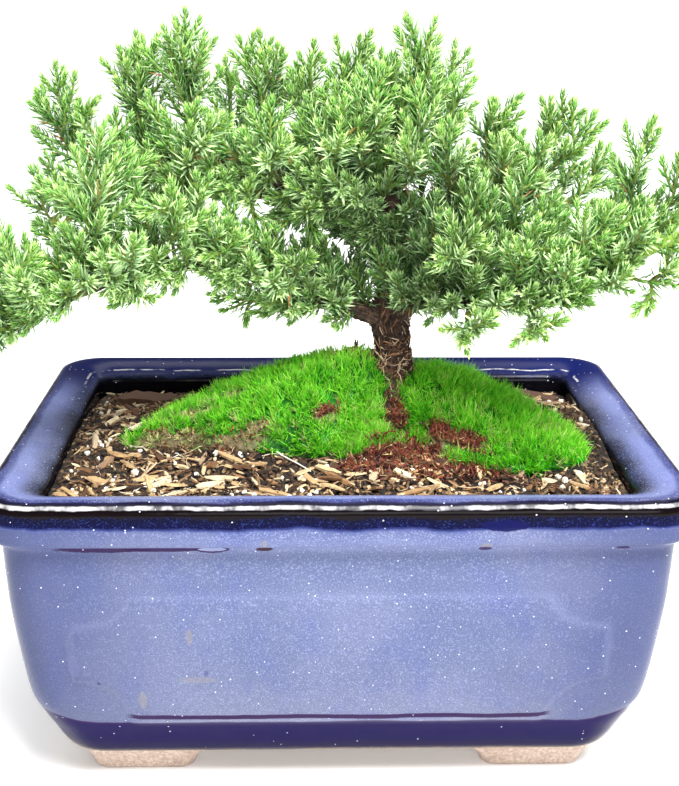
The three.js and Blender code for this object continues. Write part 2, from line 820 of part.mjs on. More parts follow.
// A needle-clad stem: each whorl draws three of its six faces out into needles
function shootSolid(points, owner, stem, leave) {
  const frames = pathFrames(points, leave);
  const vertices = [];
  const faces = [];
  const rings = frames.map((frame, k) => {
    const radius = THREE.MathUtils.lerp(STEM_RADIUS, TIP_RADIUS, k / (frames.length - 1));
    const ring = ringAt(frame, k === 0 ? TWIG_RADIUS : radius, 3, k * Math.PI / 3);
    return ring.map((point) => vertices.push(point) - 1);
  });
  faces.push([rings[0][2], rings[0][1], rings[0][0]]);
  for (let k = 0; k + 1 < rings.length; k += 1) {
    for (let i = 0; i < 3; i += 1) {
      const a0 = rings[k][i];
      const a1 = rings[k][(i + 1) % 3];
      const b0 = rings[k + 1][i];
      const b1 = rings[k + 1][(i + 1) % 3];
      faces.push([a1, b1, b0]);
      const corners = [a0, a1, b0].map((n) => vertices[n]);
      const apex = k < BARE_STEPS ? null : needleApex(frames[k], corners, owner, stem);
      if (apex === null) {
        faces.push([a0, a1, b0]);
      } else {
        const tip = vertices.push(apex) - 1;
        faces.push([a0, a1, tip], [a1, b0, tip], [b0, a0, tip]);
      }
    }
  }
  const end = frames[frames.length - 1];
  const bud = vertices.push(end.point.clone().addScaledVector(end.along, BUD_LENGTH)) - 1;
  const last = rings[rings.length - 1];
  faces.push([last[0], last[1], bud], [last[1], last[2], bud], [last[2], last[0], bud]);
  return solidOf(meshOf(vertices, faces));
}

// Tip of a needle that leaves a whorl's face, shorter or none where something is in its way
function needleApex(frame, corners, owner, stem) {
  const base = corners[0].clone().add(corners[1]).add(corners[2]).divideScalar(3);
  const outward = base.clone().sub(frame.point);
  outward.addScaledVector(frame.along, -outward.dot(frame.along)).normalize();
  const lean = NEEDLE_LEAN * between(...NEEDLE_LEAN_SPREAD);
  const length = NEEDLE_LENGTH * between(...NEEDLE_LENGTH_SPREAD);
  const reach = outward.multiplyScalar(Math.sin(lean)).addScaledVector(frame.along, Math.cos(lean));
  for (const size of [length, length * NEEDLE_SHORTER]) {
    const spots = NEEDLE_SAMPLES.map(([t, r]) => [base.clone().addScaledVector(reach, size * t), r]);
    if (spots.every(([point, r]) => isFree(point, r, owner, stem))) {
      spots.forEach(([point, r]) => take(point, r, owner, stem));
      return base.clone().addScaledVector(reach, size);
    }
  }
  return null;
}

// Stems of one spray: the first tip ends the main stem, the others leave it a quarter of the way up
function sprayStems({ root, tips, leave }) {
  const main = shootPath(root, tips[0], leave);
  const stems = [main];
  tips.slice(1).forEach((tip, n) => {
    const start = main[Math.min(main.length - 3, 1 + n)];
    const toTip = tip.clone().sub(start).normalize();
    const ahead = main[2].clone().sub(main[0]).normalize();
    stems.push(shootPath(start, tip, toTip.add(ahead).normalize()));
  });
  return stems;
}

// A stem stops short of whatever else stands in its way
function clipped(stem, owner) {
  const kept = [];
  for (const [k, point] of stem.entries()) {
    if (k > 1 && !isFree(point, STEM_ROOM, owner)) {
      break;
    }
    kept.push(point);
  }
  return kept;
}

function twigPath(limb, root) {
  const from = nearestOnLimb(limb, root);
  const along = root.clone().sub(from).normalize();
  const end = root.clone().addScaledVector(along, -SEAT_GAP);
  return [from, end];
}

// Every spray with its name, its stems' ends and the twig that carries it
function plannedSprays() {
  return Object.entries(SPRAYS).flatMap(([limb, list]) => list.map((spots, n) => {
    const [root, ...tips] = spots.map(vector);
    const twig = twigPath(LIMBS[limb], root);
    const leave = root.clone().sub(twig[0]).normalize();
    return { name: `${limb}_spray_${n + 1}`, root, tips, twig, leave };
  }));
}

function woodMesh(sprays) {
  let wood = trunkSolid(0);
  [...Object.values(LIMBS), STUB].forEach((path) => {
    wood = wood.add(limbSolid(path, LIMB_SIDES, 0, LIMB_ROUGHNESS));
  });
  sprays.forEach(({ twig }) => {
    const rings = pathFrames(twig).map((frame) => ringAt(frame, TWIG_RADIUS, 3, 0));
    wood = wood.add(solidOf(loft(rings)));
  });
  const bark = new THREE.MeshStandardMaterial({ color: 0x4b3527, roughness: 0.92, metalness: 0 });
  return namedMesh('trunk_and_branches', wood, bark);
}

// The stems of all the sprays are laid out before any needle, so that needles give way to stems
function layOutStems(sprays) {
  [TRUNK, STUB, ...Object.values(LIMBS)].forEach(takeLimb);
  sprays.forEach(({ twig }) => {
    takeLimb(twig.map((point) => [...point.toArray(), TWIG_RADIUS]));
  });
  sprays.forEach((spray) => {
    spray.stems = sprayStems(spray)
      .map((stem) => clipped(stem, spray.name))
      .filter((stem) => stem.length >= LEAST_STEM_POINTS);
    spray.stems.forEach((stem, n) => {
      stem.forEach((point) => take(point, STEM_RADIUS, spray.name, n));
    });
  });
}

function sprayMesh(spray) {
  const shoots = spray.stems.map((stem, n) => (
    shootSolid(stem, spray.name, n, n === 0 ? spray.leave : null)
  ));
  const green = new THREE.MeshStandardMaterial({ color: 0x5f9a68, roughness: 0.6, metalness: 0 });
  return namedMesh(spray.name, shoots.reduce((whole, shoot) => whole.add(shoot)), green);
}

const sprays = plannedSprays();
layOutStems(sprays);

const bonsai = new THREE.Group();
bonsai.add(potMesh(), soilMesh(), ...mossMeshes(), woodMesh(sprays), ...sprays.map(sprayMesh));

// The origin is the centre of the whole plant's outline, at the soles of the feet
const box = new THREE.Box3().setFromObject(bonsai);
bonsai.position.set(-(box.min.x + box.max.x) / 2, -(box.min.y + box.max.y) / 2, -box.min.z);
bonsai.updateMatrixWorld(true);

export default bonsai;
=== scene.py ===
"""Visual model of a juniper bonsai in a glazed pot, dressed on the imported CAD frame.

Lists and sizes are in millimetres, in the pot's own frame: +Z up, the front at -Y, the pot's centre at X = 0.
"""

import math
from functools import reduce

import bpy
import numpy as np
from mathutils import Matrix, Vector, noise


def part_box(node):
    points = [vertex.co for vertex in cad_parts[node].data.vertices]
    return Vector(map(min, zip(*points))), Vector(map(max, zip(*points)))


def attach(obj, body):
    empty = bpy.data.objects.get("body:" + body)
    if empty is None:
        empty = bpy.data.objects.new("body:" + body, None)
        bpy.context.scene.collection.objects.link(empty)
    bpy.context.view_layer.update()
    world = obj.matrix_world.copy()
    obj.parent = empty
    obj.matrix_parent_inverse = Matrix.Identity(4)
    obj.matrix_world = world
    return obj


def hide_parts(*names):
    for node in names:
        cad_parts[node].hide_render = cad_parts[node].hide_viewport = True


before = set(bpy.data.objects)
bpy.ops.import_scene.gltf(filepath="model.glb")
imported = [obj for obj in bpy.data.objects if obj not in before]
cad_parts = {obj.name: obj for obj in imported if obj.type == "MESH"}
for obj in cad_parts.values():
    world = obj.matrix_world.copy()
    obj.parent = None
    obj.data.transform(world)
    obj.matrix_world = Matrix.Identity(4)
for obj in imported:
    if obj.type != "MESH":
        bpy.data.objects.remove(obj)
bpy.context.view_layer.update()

MM = 0.001
TURN = 2 * math.pi
SEED = 5784
# Blender's vector noise starts differently in each run unless it is given a seed
noise.seed_set(SEED)
pot_low, pot_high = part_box("pot")
SHIFT = np.array([(pot_low.x + pot_high.x) / 2, (pot_low.y + pot_high.y) / 2, pot_low.z])

# ---------------------------------------------------------------- sizes shared with the solids
RIM_LENGTH, RIM_WIDTH = 203, 150
HALF_X, HALF_Y = RIM_LENGTH / 2, RIM_WIDTH / 2
# Levels of the pot: height, inset from the rim and corner radius
POT_OUTSIDE = [
    (8.7, 22, 10), (11.5, 17.6, 12), (15, 15.7, 12), (20, 13.7, 12), (27, 10.9, 12), (35, 8.6, 12),
    (59, 5.8, 12), (72, 5, 12), (83.5, 4.4, 12), (85.4, 2.4, 13), (86.7, 0.4, 14), (92, 0, 14),
    (96.8, 0.3, 14), (98.5, 1.6, 13), (99, 3.6, 12),
]
POT_INSIDE = [
    (98.3, 8, 10), (96.6, 13, 7), (95.6, 14.9, 6), (93.8, 16, 6), (60, 16.4, 6), (35, 17.6, 7), (22, 22, 8),
    (16.4, 28, 8), (15, 32, 8),
]
PANEL_TOP, PANEL_BOTTOM = 69, 25
PANEL_SIDE_TOP, PANEL_SIDE_BOTTOM = 59, 41
PANEL_END, PANEL_NOTCH, PANEL_RISE = 24, 17, 0.9
# Levels of a foot: height, then its ends along X and along Y
FOOT_LEVELS = [
    (0, 45.5, 75.5, 31, 49), (0.7, 44.9, 76.2, 30.4, 49.7), (5, 43, 77.6, 28.5, 51),
    (8.3, 39, 78.6, 24.5, 52), (12, 37, 78.6, 22.5, 52),
]
DRAIN_RADIUS, DRAIN_X = 6, 36

SOIL_LEVEL, BACK_DIP = 92, 3.2
MOUND_HEIGHT, MOUND_X, MOUND_Y, MOUND_SPREAD_X, MOUND_SPREAD_Y = 24, 9, 3, 40, 21
# Spines of the moss cushions: X, Y, half width
MOSS_LEFT = [
    (-66, -15, 3), (-52, -12, 10), (-36, -9, 17), (-18, -8, 22), (-4, -9, 24), (7, -12, 20), (13, -15, 12),
]
MOSS_RIGHT = [(21, -3, 9), (30, -7, 17), (42, -13, 21), (55, -19, 20), (68, -23, 13), (80, -27, 3)]
MOSS_DRY = [(2, -39, 2), (12, -37, 7), (26, -36, 11), (40, -41, 8), (52, -46, 4), (58, -47, 2)]
# Trunk, roots, limbs: X, Y, Z, radius
TRUNK = [
    (18, 2, 72, 6), (18, 0, 96, 8), (18, -2, 107, 7.4), (18, -3, 113, 6), (18, -3, 118, 5.3),
    (18, -2, 124, 4.7), (17, 0, 131, 5.6), (18, 1, 138, 5.4), (19, 2, 147, 4.8), (18, 2, 156, 4.2),
    (16, 1, 164, 3.8),
]
ROOTS = [
    [(18, -3, 113, 4.4), (18, -11, 110, 3.2), (17, -18, 105.5, 2.3), (15, -26, 100, 1.2)],
    [(19, -2, 112, 4), (25, -8, 111, 2.4), (29, -13, 107, 1.4)],
    [(17, -1, 113, 4), (9, 4, 114, 2.6), (1, 8, 112, 1.4)],
]
STUB = [(13, 0, 166, 2.8), (17, -8, 172, 2.5)]
LIMBS = {
    "low_left": [
        (17, 0, 132, 4.6), (7, -1, 135.5, 3.1), (-1, -3, 137.5, 2.3), (-14, -8, 144, 1.9),
        (-34, -18, 152, 1.7), (-54, -31, 156, 1.5), (-70, -42, 152, 1.4), (-85, -46, 146, 1.2),
        (-97, -47, 141, 1.1),
    ],
    "low_side": [(-1, -3, 137.3, 1.8), (-10, -4, 138.5, 1.3), (-17, -5, 138.5, 1.1)],
    "upper_left": [
        (18, 1, 158, 3.7), (12, -1, 168, 3.2), (3, -2, 173, 2.6), (-12, -2, 174.5, 2.1), (-30, 1, 178, 1.9),
        (-48, 2, 179, 1.6), (-66, 3, 177, 1.4), (-78, 0, 171, 1.2), (-84, -8, 163, 1),
    ],
    "left_front": [(-30, 1, 178, 1.5), (-42, -8, 172, 1.3), (-56, -12, 166, 1)],
    "crown": [(17, 1, 158, 3.4), (12, 2, 172, 2.3), (12, 2, 184, 1.5)],
    "upper_right": [
        (19, 1, 148, 3.8), (28, 0, 163, 2.5), (42, -1, 172, 1.9), (56, 0, 175, 1.5), (66, 1, 171, 1.2),
    ],
    "low_right": [
        (18, -1, 134, 3.8), (26, -12, 141, 2.5), (38, -27, 144, 2), (54, -34, 146, 1.7), (68, -39, 149, 1.5),
        (78, -43, 158, 1.3), (82, -42, 167, 1.1),
    ],
    "rear_left": [
        (17, 2, 148, 3.8), (4, 20, 160, 2.5), (-16, 36, 165, 1.9), (-40, 42, 166, 1.6), (-66, 38, 164, 1.3),
        (-82, 30, 160, 1.1),
    ],
    "rear_right": [
        (19, 2, 146, 3.8), (27, 20, 158, 2.5), (36, 38, 166, 1.9), (56, 38, 166, 1.5), (76, 28, 164, 1.2),
    ],
}
# Limb by limb, each spray: where it leaves the wood, then the tip of each of its shoots
SPRAYS = {
    "upper_left": [
        [(-79, 4, 177), (-87, 8, 213), (-93, 4, 205), (-73, 2, 202)],
        [(-61, 6, 184), (-62, 12, 222), (-67, 6, 218), (-55, 14, 221)],
        [(-47, 3, 186), (-46, 5, 229), (-40, 8, 222), (-53, 2, 224)], [(-34, 8, 184), (-35, 18, 214)],
        [(-24, 5, 183), (-24, 10, 223), (-31, 12, 221), (-18, 6, 219)],
        [(-10, 3, 182), (-7, 10, 220), (-13, 12, 213)], [(-86, -13, 166), (-91, -12, 184)],
        [(-20, -6, 178), (-20, -8, 204), (-14, -24, 193)], [(-2, -7, 178), (3, -10, 207), (1, -26, 194)],
        [(-9, -6, 170), (-10, -20, 172), (-6, -14, 158)], [(-25, -3, 172), (-28, -19, 178), (-24, -14, 160)],
    ],
    "left_front": [
        [(-44, -12, 177), (-41, -18, 204), (-30, -26, 200)], [(-60, -13, 169), (-56, -16, 189)],
        [(-50, -15, 166), (-51, -29, 171)],
    ],
    "crown": [
        [(6, 6, 190), (10, 6, 223), (3, 8, 216)], [(18, 0, 188), (21, 2, 228), (28, 4, 222), (32, -4, 211)],
        [(9, -4, 181), (13, -8, 214), (5, -16, 198)], [(18, -6, 176), (24, -12, 209), (18, -26, 193)],
    ],
    "upper_right": [
        [(33, -3, 178), (41, -6, 210)], [(47, 2, 181), (48, 4, 203), (58, 6, 204)],
        [(63, 4, 180), (67, 8, 203), (73, 0, 203)], [(64, -4, 178), (79, -6, 200), (74, -14, 190)],
        [(35, -9, 172), (32, -18, 199)], [(49, -7, 175), (49, -18, 194)], [(59, -7, 173), (59, -18, 195)],
        [(71, 4, 168), (80, 8, 181), (84, 2, 168)], [(30, -6, 158), (36, -16, 166), (33, -18, 154)],
    ],
    "low_left": [
        [(-69, -42, 157), (-65, -38, 200), (-58, -30, 191), (-82, -44, 184)],
        [(-86, -50, 149), (-94, -52, 176), (-97, -58, 162), (-80, -58, 166)],
        [(-50, -33, 161), (-47, -38, 184), (-40, -44, 172), (-56, -48, 174)],
        [(-100, -48, 141), (-118, -50, 144), (-101, -46, 126)],
        [(-58, -36, 151), (-66, -46, 148), (-52, -46, 148)],
        [(-35, -22, 156), (-40, -36, 160), (-27, -30, 166), (-38, -20, 174)],
        [(-14, -12, 148), (-18, -24, 158), (-6, -20, 158)],
    ],
    "low_side": [[(-21, -6, 139), (-42, -10, 143), (-30, -8, 130)]],
    "low_right": [
        [(38, -29, 149), (30, -38, 175), (26, -48, 163), (40, -44, 168)],
        [(56, -36, 150), (56, -38, 174), (48, -46, 166), (63, -46, 162)],
        [(50, -28, 149), (54, -20, 169), (44, -22, 166)], [(70, -41, 154), (78, -46, 178), (65, -46, 166)],
        [(56, -39, 144), (52, -58, 140), (64, -56, 146)], [(38, -32, 141), (34, -52, 137), (43, -54, 148)],
        [(82, -46, 156), (98, -52, 158), (80, -58, 146), (91, -54, 173)],
        [(85, -44, 170), (108, -54, 178), (92, -50, 193)], [(82, -40, 172), (87, -40, 202), (79, -32, 188)],
    ],
    "rear_left": [
        [(-60, 43, 169), (-64, 52, 194), (-52, 56, 186)], [(-32, 45, 170), (-33, 54, 198), (-42, 60, 180)],
        [(-4, 33, 169), (-6, 46, 202), (4, 54, 186)], [(-85, 30, 163), (-98, 36, 182), (-104, 30, 168)],
        [(-20, 42, 162), (-14, 66, 168), (-24, 58, 150)], [(-52, 45, 160), (-58, 66, 162), (-46, 58, 150)],
    ],
    "rear_right": [
        [(37, 41, 172), (41, 52, 218), (32, 44, 210)], [(54, 41, 171), (58, 50, 192), (68, 54, 182)],
        [(79, 26, 167), (92, 28, 186), (100, 34, 170)],
        [(42, 42, 162), (44, 66, 168), (36, 58, 150), (54, 60, 156)],
    ],
}
TRUNK_X = 18


# ---------------------------------------------------------------- small tools
def unit(v):
    v = np.asarray(v, float)
    return v / np.maximum(np.linalg.norm(v, axis=-1, keepdims=True), 1e-9)


def smoothstep(low, high, value):
    t = np.clip((np.asarray(value, float) - low) / (high - low), 0, 1)
    return t * t * (3 - 2 * t)


def rough(point, size, depth=3):
    """Smooth noise from -1 to 1, with features of about one size."""
    return noise.fractal(Vector(point) / size, 1.0, 2.0, depth)


def soil_height(x, y):
    dx = (np.asarray(x, float) - MOUND_X) / MOUND_SPREAD_X
    dy = (np.asarray(y, float) - MOUND_Y) / MOUND_SPREAD_Y
    dip = BACK_DIP * smoothstep(22, 46, y)
    return SOIL_LEVEL + MOUND_HEIGHT * np.exp(-(dx * dx + dy * dy) / 2) - dip


def at_height(ring, z):
    """Points of a plane lifted to one height, or to one each."""
    return np.column_stack([ring, np.broadcast_to(z, len(ring))])


def linked(name, data):
    made = bpy.data.objects.new(name, data)
    bpy.context.scene.collection.objects.link(made)
    return made


class Heap:
    """Many small closed shells gathered into one mesh, with colours by point."""

    def __init__(self, *layers):
        self.points, self.faces, self.indices, self.count = [], [], [], 0
        self.layers = {key: [] for key in layers}

    def add(self, points, faces, index=0, **colours):
        """Adds a shell. A colour is three values, each of them one number or one for each point."""
        points = np.asarray(points, float).reshape(-1, 3)
        self.faces += [[int(i) + self.count for i in face] for face in faces]
        self.indices += [index] * len(faces)
        self.points.append(points)
        self.count += len(points)
        for key, rows in self.layers.items():
            values = (*colours.get(key, (0, 0, 0)), 1)
            rows.append(np.column_stack([np.broadcast_to(value, len(points)) for value in values]))

    def loft(self, rings, flip=False, index=0, **colours):
        """Adds a closed skin through rings that have as many points each."""
        faces = loft_faces(len(rings), len(rings[0]))
        if flip:
            faces = [face[::-1] for face in faces]
        self.add(np.concatenate(rings), faces, index, **colours)

    def item(self, name, materials, smooth=False):
        mesh = bpy.data.meshes.new(name)
        mesh.from_pydata((np.concatenate(self.points) * MM + SHIFT).tolist(), [], self.faces)
        for key, rows in self.layers.items():
            layer = mesh.attributes.new(key, "FLOAT_COLOR", "POINT")
            layer.data.foreach_set("color", np.concatenate(rows).astype(np.float32).ravel())
        mesh.polygons.foreach_set("material_index", self.indices)
        mesh.polygons.foreach_set("use_smooth", [smooth] * len(mesh.polygons))
        for material in materials:
            mesh.materials.append(material)
        mesh.update()
        return linked(name, mesh)

    def piece(self, name, materials, nodes=(), smooth=False):
        made = self.item(name, materials, smooth)
        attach(made, "root")
        if nodes:
            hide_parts(*nodes)
        return made


def curve_through(rows, step):
    """A smooth curve through rows of numbers whose first three are a point, sampled about one step apart."""
    rows = np.asarray(rows, float)
    ends = np.vstack([2 * rows[0] - rows[1], rows, 2 * rows[-1] - rows[-2]])
    out = []
    for a, b, c, d in zip(ends, ends[1:], ends[2:], ends[3:]):
        count = max(1, round(np.linalg.norm(c[:3] - b[:3]) / step))
        for t in np.arange(count) / count:
            square, cube = 2 * a - 5 * b + 4 * c - d, 3 * b - a - 3 * c + d
            out.append(0.5 * (2 * b + (c - a) * t + square * t * t + cube * t ** 3))
    out.append(ends[-2])
    return np.array(out)


def frames(points):
    """Directions along a path and two directions across it, turned as little as possible."""
    along = unit(np.gradient(points, axis=0))
    side = np.zeros_like(along)
    start = np.array([1.0, 0, 0]) if abs(along[0][2]) > 0.8 else np.array([0, 0, 1.0])
    for k, direction in enumerate(along):
        start = unit(start - direction * (start @ direction))
        side[k] = start
    return along, side, np.cross(along, side)


def tube(points, radii, sides, swell=1.0):
    """Rings round a path. swell is a share of the radius, for all points or for each."""
    _, side, up = frames(points)
    angles = np.arange(sides) * TURN / sides
    spokes = side[:, None] * np.cos(angles)[:, None] + up[:, None] * np.sin(angles)[:, None]
    return points[:, None] + spokes * (np.asarray(radii, float)[:, None, None] * swell)


def loft_faces(rings, sides):
    faces = []
    for k in range(rings - 1):
        low, high = k * sides, (k + 1) * sides
        for i in range(sides):
            j = (i + 1) % sides
            faces.append((low + i, low + j, high + j, high + i))
    last = (rings - 1) * sides
    return faces + [tuple(range(sides))[::-1], tuple(range(last, last + sides))]


# ---------------------------------------------------------------- material tools
def rgba(colour):
    """A colour given as it looks on screen, from 0 to 255, turned into linear light."""
    parts = [c / 255 for c in colour]
    return (*(p / 12.92 if p <= 0.04045 else ((p + 0.055) / 1.055) ** 2.4 for p in parts), 1)


class Net:
    """A material, with short names for the nodes that it is made of and its colour so far."""

    def __init__(self, name):
        self.material = bpy.data.materials.new(name)
        self.material.use_nodes = True
        self.tree = self.material.node_tree
        self.shader = self.tree.nodes["Principled BSDF"]
        self.place = self.node("ShaderNodeTexCoord").outputs["Object"]

    def node(self, kind, **inputs):
        made = self.tree.nodes.new(kind)
        for key, value in inputs.items():
            self.feed(made.inputs[key.replace("_", " ")], value)
        return made

    def feed(self, socket, value):
        """Links a socket, or gives it a number, or a colour as it looks on screen."""
        if isinstance(value, bpy.types.NodeSocket):
            self.tree.links.new(value, socket)
        else:
            socket.default_value = rgba(value) if isinstance(value, tuple) else value

    def math(self, operation, *values):
        made = self.node("ShaderNodeMath")
        made.operation = operation
        for socket, value in zip(made.inputs, values):
            self.feed(socket, value)
        return made.outputs[0]

    def plus(self, *values):
        return reduce(lambda a, b: self.math("ADD", a, b), values)

    def times(self, *values):
        return reduce(lambda a, b: self.math("MULTIPLY", a, b), values)

    def away(self, value, middle):
        """How far a value lies from a middle one, either way."""
        return self.math("ABSOLUTE", self.math("SUBTRACT", value, middle))

    def swing(self, value, size):
        """A value from 0 to 1 spread about zero over a size."""
        return self.times(self.math("SUBTRACT", value, 0.5), size)

    def step(self, value, low, high, start=0.0, end=1.0):
        """A soft step from start to end as a value goes from low to high."""
        edges = {"From_Min": low, "From_Max": high, "To_Min": start, "To_Max": end}
        made = self.node("ShaderNodeMapRange", Value=value, **edges)
        made.interpolation_type = "SMOOTHSTEP"
        return made.outputs["Result"]

    def band(self, value, rise, full, fall, over):
        """1 between two soft edges, and 0 outside them."""
        return self.times(self.step(value, rise, full), self.step(value, fall, over, 1.0, 0.0))

    def channels(self, name):
        layer = self.node("ShaderNodeAttribute")
        layer.attribute_name = name
        return self.node("ShaderNodeSeparateColor", Color=layer.outputs["Color"]).outputs[:3]

    def axes(self, vector):
        return self.node("ShaderNodeSeparateXYZ", Vector=vector).outputs[:3]

    def vector(self, x, y, z):
        return self.node("ShaderNodeCombineXYZ", X=x, Y=y, Z=z).outputs[0]

    def stretched(self, vector, *scale):
        made = self.node("ShaderNodeMapping", Vector=vector)
        made.inputs["Scale"].default_value = scale
        return made.outputs[0]

    def noise(self, scale, detail=2.0, roughness=0.5, at=None):
        at = self.place if at is None else at
        made = self.node("ShaderNodeTexNoise", Vector=at, Scale=scale, Detail=detail, Roughness=roughness)
        return made.outputs["Fac"]

    def cells(self, scale):
        """Distance from the middle of a random cell, and a number picked for each cell."""
        made = self.node("ShaderNodeTexVoronoi", Vector=self.place, Scale=scale)
        return made.outputs["Distance"], self.axes(made.outputs["Color"])[0]

    def mix(self, factor, a, b, kind="MIX"):
        made = self.node("ShaderNodeMix")
        made.data_type = "RGBA"
        made.blend_type = kind
        for key, value in (("Factor", factor), ("A", a), ("B", b)):
            self.feed(made.inputs[key], value)
        return made.outputs["Result"]

    def coat(self, tone, *factors):
        """Lays a tone over the colour so far, as strong as the product of some factors."""
        self.colour = self.mix(self.times(*factors), self.colour, tone)

    def ramp(self, factor, stops, light=1.0):
        made = self.node("ShaderNodeValToRGB")
        marks = made.color_ramp.elements
        marks.remove(marks[-1])
        for n, (position, colour) in enumerate(stops):
            mark = marks.new(position) if n else marks[0]
            mark.position = position
            mark.color = [min(1.0, c * light) for c in rgba(colour)]
        self.feed(made.inputs[0], factor)
        return made.outputs[0]

    def bump(self, height, distance, strength=1.0):
        made = self.node("ShaderNodeBump", Height=height, Distance=distance, Strength=strength)
        self.feed(self.shader.inputs["Normal"], made.outputs[0])

    def finish(self, roughness, **uniform):
        self.feed(self.shader.inputs["Base Color"], self.colour)
        self.feed(self.shader.inputs["Roughness"], roughness)
        for key, value in uniform.items():
            self.shader.inputs[key.replace("_", " ")].default_value = value
        return self.material


# ---------------------------------------------------------------- pot
# Points of a ring for each corner, long side and short side
POT_STEPS, FOOT_STEPS = (8, 88, 58), (6, 8, 5)
OUTSIDE_STEP, INSIDE_STEP, FOOT_STEP = 1.5, 2.5, 1.0
FOOT_CORNER = 4.2
DRAIN_SIDES, DRAIN_REACH = 40, (2, 24)
# Where the dark band at the foot climbs at the corners: beyond X and Y, over a length, by a height
CLIMB_FROM, CLIMB_OVER, CLIMB = (62, 36), 20, 4.5
# Distance along the pot's skin from the crest of the rim, where the glaze changes: outwards positive
GLAZE_RUN = (-40, 110)
GLAZE = [
    (-40, (8, 8, 14)), (-14.5, (8, 8, 14)), (-11.6, (10, 10, 18)), (-9.8, (40, 38, 48)),
    (-8.2, (84, 88, 122)), (-5.5, (112, 120, 168)), (-2.6, (116, 124, 172)), (-1.2, (60, 64, 116)),
    (0.4, (38, 38, 84)), (1.2, (20, 18, 40)), (3.6, (8, 5, 8)), (5.6, (16, 10, 10)), (6.2, (0, 1, 26)),
    (8.9, (0, 1, 46)), (9.5, (56, 66, 124)), (10.0, (84, 92, 126)), (13.8, (98, 105, 140)),
    (16.8, (112, 118, 150)), (22, (88, 96, 126)), (45, (86, 94, 124)), (62, (92, 98, 124)),
    # from 83 on: the dark band at the foot, partly the glaze's own colour and partly painted shade where the
    # body turns under
    (81.4, (112, 116, 138)), (82.4, (102, 104, 128)), (83.0, (44, 24, 72)), (84.4, (20, 10, 66)),
    (93, (12, 6, 60)), (97.6, (24, 16, 46)), (98.4, (110, 94, 84)), (110, (176, 158, 140)),
]
# Marks on the front: X and Z of the middle, half sizes, then the tone and its strength. Those at Z 84, along
# the crease under the lip, are painted reflections of dark things; the others are glaze marks.
DARK_REFLECTION_AND_MARK, TAN_MARK, RING_REFLECTION = (40, 18, 60), (130, 124, 112), (122, 128, 160)
FRONT_MARKS = [
    (-66, 84.3, 14, 1.2, DARK_REFLECTION_AND_MARK, 0.95), (-50, 84.2, 11, 0.9, DARK_REFLECTION_AND_MARK, 0.95),
    (-36, 84.2, 4.8, 1.25, DARK_REFLECTION_AND_MARK, 0.95), (-36, 84.2, 3.9, 0.75, RING_REFLECTION, 1.0),
    (-21.4, 84.2, 2.5, 0.8, (46, 22, 26), 0.95), (-21.4, 87.2, 0.9, 1.3, TAN_MARK, 0.4),
    (40.2, 86.4, 1.7, 1.0, TAN_MARK, 0.5), (40.2, 84.1, 1.9, 0.6, DARK_REFLECTION_AND_MARK, 0.9),
    (79, 84.3, 2.0, 0.5, DARK_REFLECTION_AND_MARK, 0.9), (45, 92.6, 6.5, 1.7, (4, 6, 62), 0.95),
    (-43.3, 56.2, 1.0, 2.6, TAN_MARK, 0.4), (-41.4, 41.6, 5.5, 1.1, TAN_MARK, 0.3),
    (-57.6, 34.5, 1.2, 3.0, TAN_MARK, 0.4), (-70, 40.5, 0.5, 0.5, DARK_REFLECTION_AND_MARK, 0.6),
    (-38.8, 43.8, 0.6, 1.1, (62, 66, 110), 0.6), (-77, 46, 1.6, 3.2, (92, 96, 132), 0.5),
]


def profile_curve(profile, step):
    """Smooth line through levels of height, inset and corner radius."""
    rows = [(inset, 0, z, radius) for z, inset, radius in profile]
    return [(z, inset, radius) for inset, _, z, radius in curve_through(rows, step)]


def rounded_ring(half_x, half_y, radius, corner_steps, long_steps, short_steps):
    """A rectangle with round corners, anticlockwise from above, with as many points at every size."""
    arcs = []
    for quarter, (sx, sy) in enumerate([(1, 1), (-1, 1), (-1, -1), (1, -1)]):
        angles = (quarter + np.linspace(0, 1, corner_steps + 1)) * math.pi / 2
        arcs.append(np.column_stack([sx * (half_x - radius) + radius * np.cos(angles),
                                     sy * (half_y - radius) + radius * np.sin(angles)]))
    ring = []
    for quarter, arc in enumerate(arcs):
        steps = short_steps if quarter % 2 else long_steps
        t = np.linspace(0, 1, steps + 1)[1:-1, None]
        ring += [arc, arc[-1] * (1 - t) + arcs[(quarter + 1) % 4][0] * t]
    return np.concatenate(ring)


def panel_lift(distance_along, half, z):
    """Share of the panel's rise at a place on a wall, with soft edges and hollow corners."""
    u = np.abs(distance_along)
    edge = np.minimum(np.minimum(half - u, PANEL_TOP - z), z - PANEL_BOTTOM)
    for corner_z, side_z in ((PANEL_TOP, PANEL_SIDE_TOP), (PANEL_BOTTOM, PANEL_SIDE_BOTTOM)):
        tall = abs(corner_z - side_z)
        reach = np.hypot((half - u) / PANEL_NOTCH, (z - corner_z) / tall)
        edge = np.minimum(edge, (reach - 1) * (PANEL_NOTCH + tall) / 2)
    return smoothstep(-0.9, 1.1, edge)


def skin_runs(levels, start):
    """How far along the skin each level lies from a starting level."""
    rows = np.array([start, *levels])[:, :2]
    return np.cumsum(np.hypot(*np.diff(rows, axis=0).T))


def outer_level(z, inset, radius):
    """A ring of the pot's outside, raised on its panels, and each point's share of a panel."""
    half_x, half_y = HALF_X - inset, HALF_Y - inset
    x, y = rounded_ring(half_x, half_y, radius, *POT_STEPS).T
    on_long, on_short = np.abs(y) > half_y - 0.01, np.abs(x) > half_x - 0.01
    lift_y = np.where(on_long, panel_lift(x, HALF_X - PANEL_END, z), 0)
    y = y + np.sign(y) * PANEL_RISE * lift_y
    lift_x = np.where(on_short, panel_lift(y, HALF_Y - PANEL_END, z), 0)
    x = x + np.sign(x) * PANEL_RISE * lift_x
    return np.stack([x, y, np.full(len(x), z)], 1), lift_x + lift_y


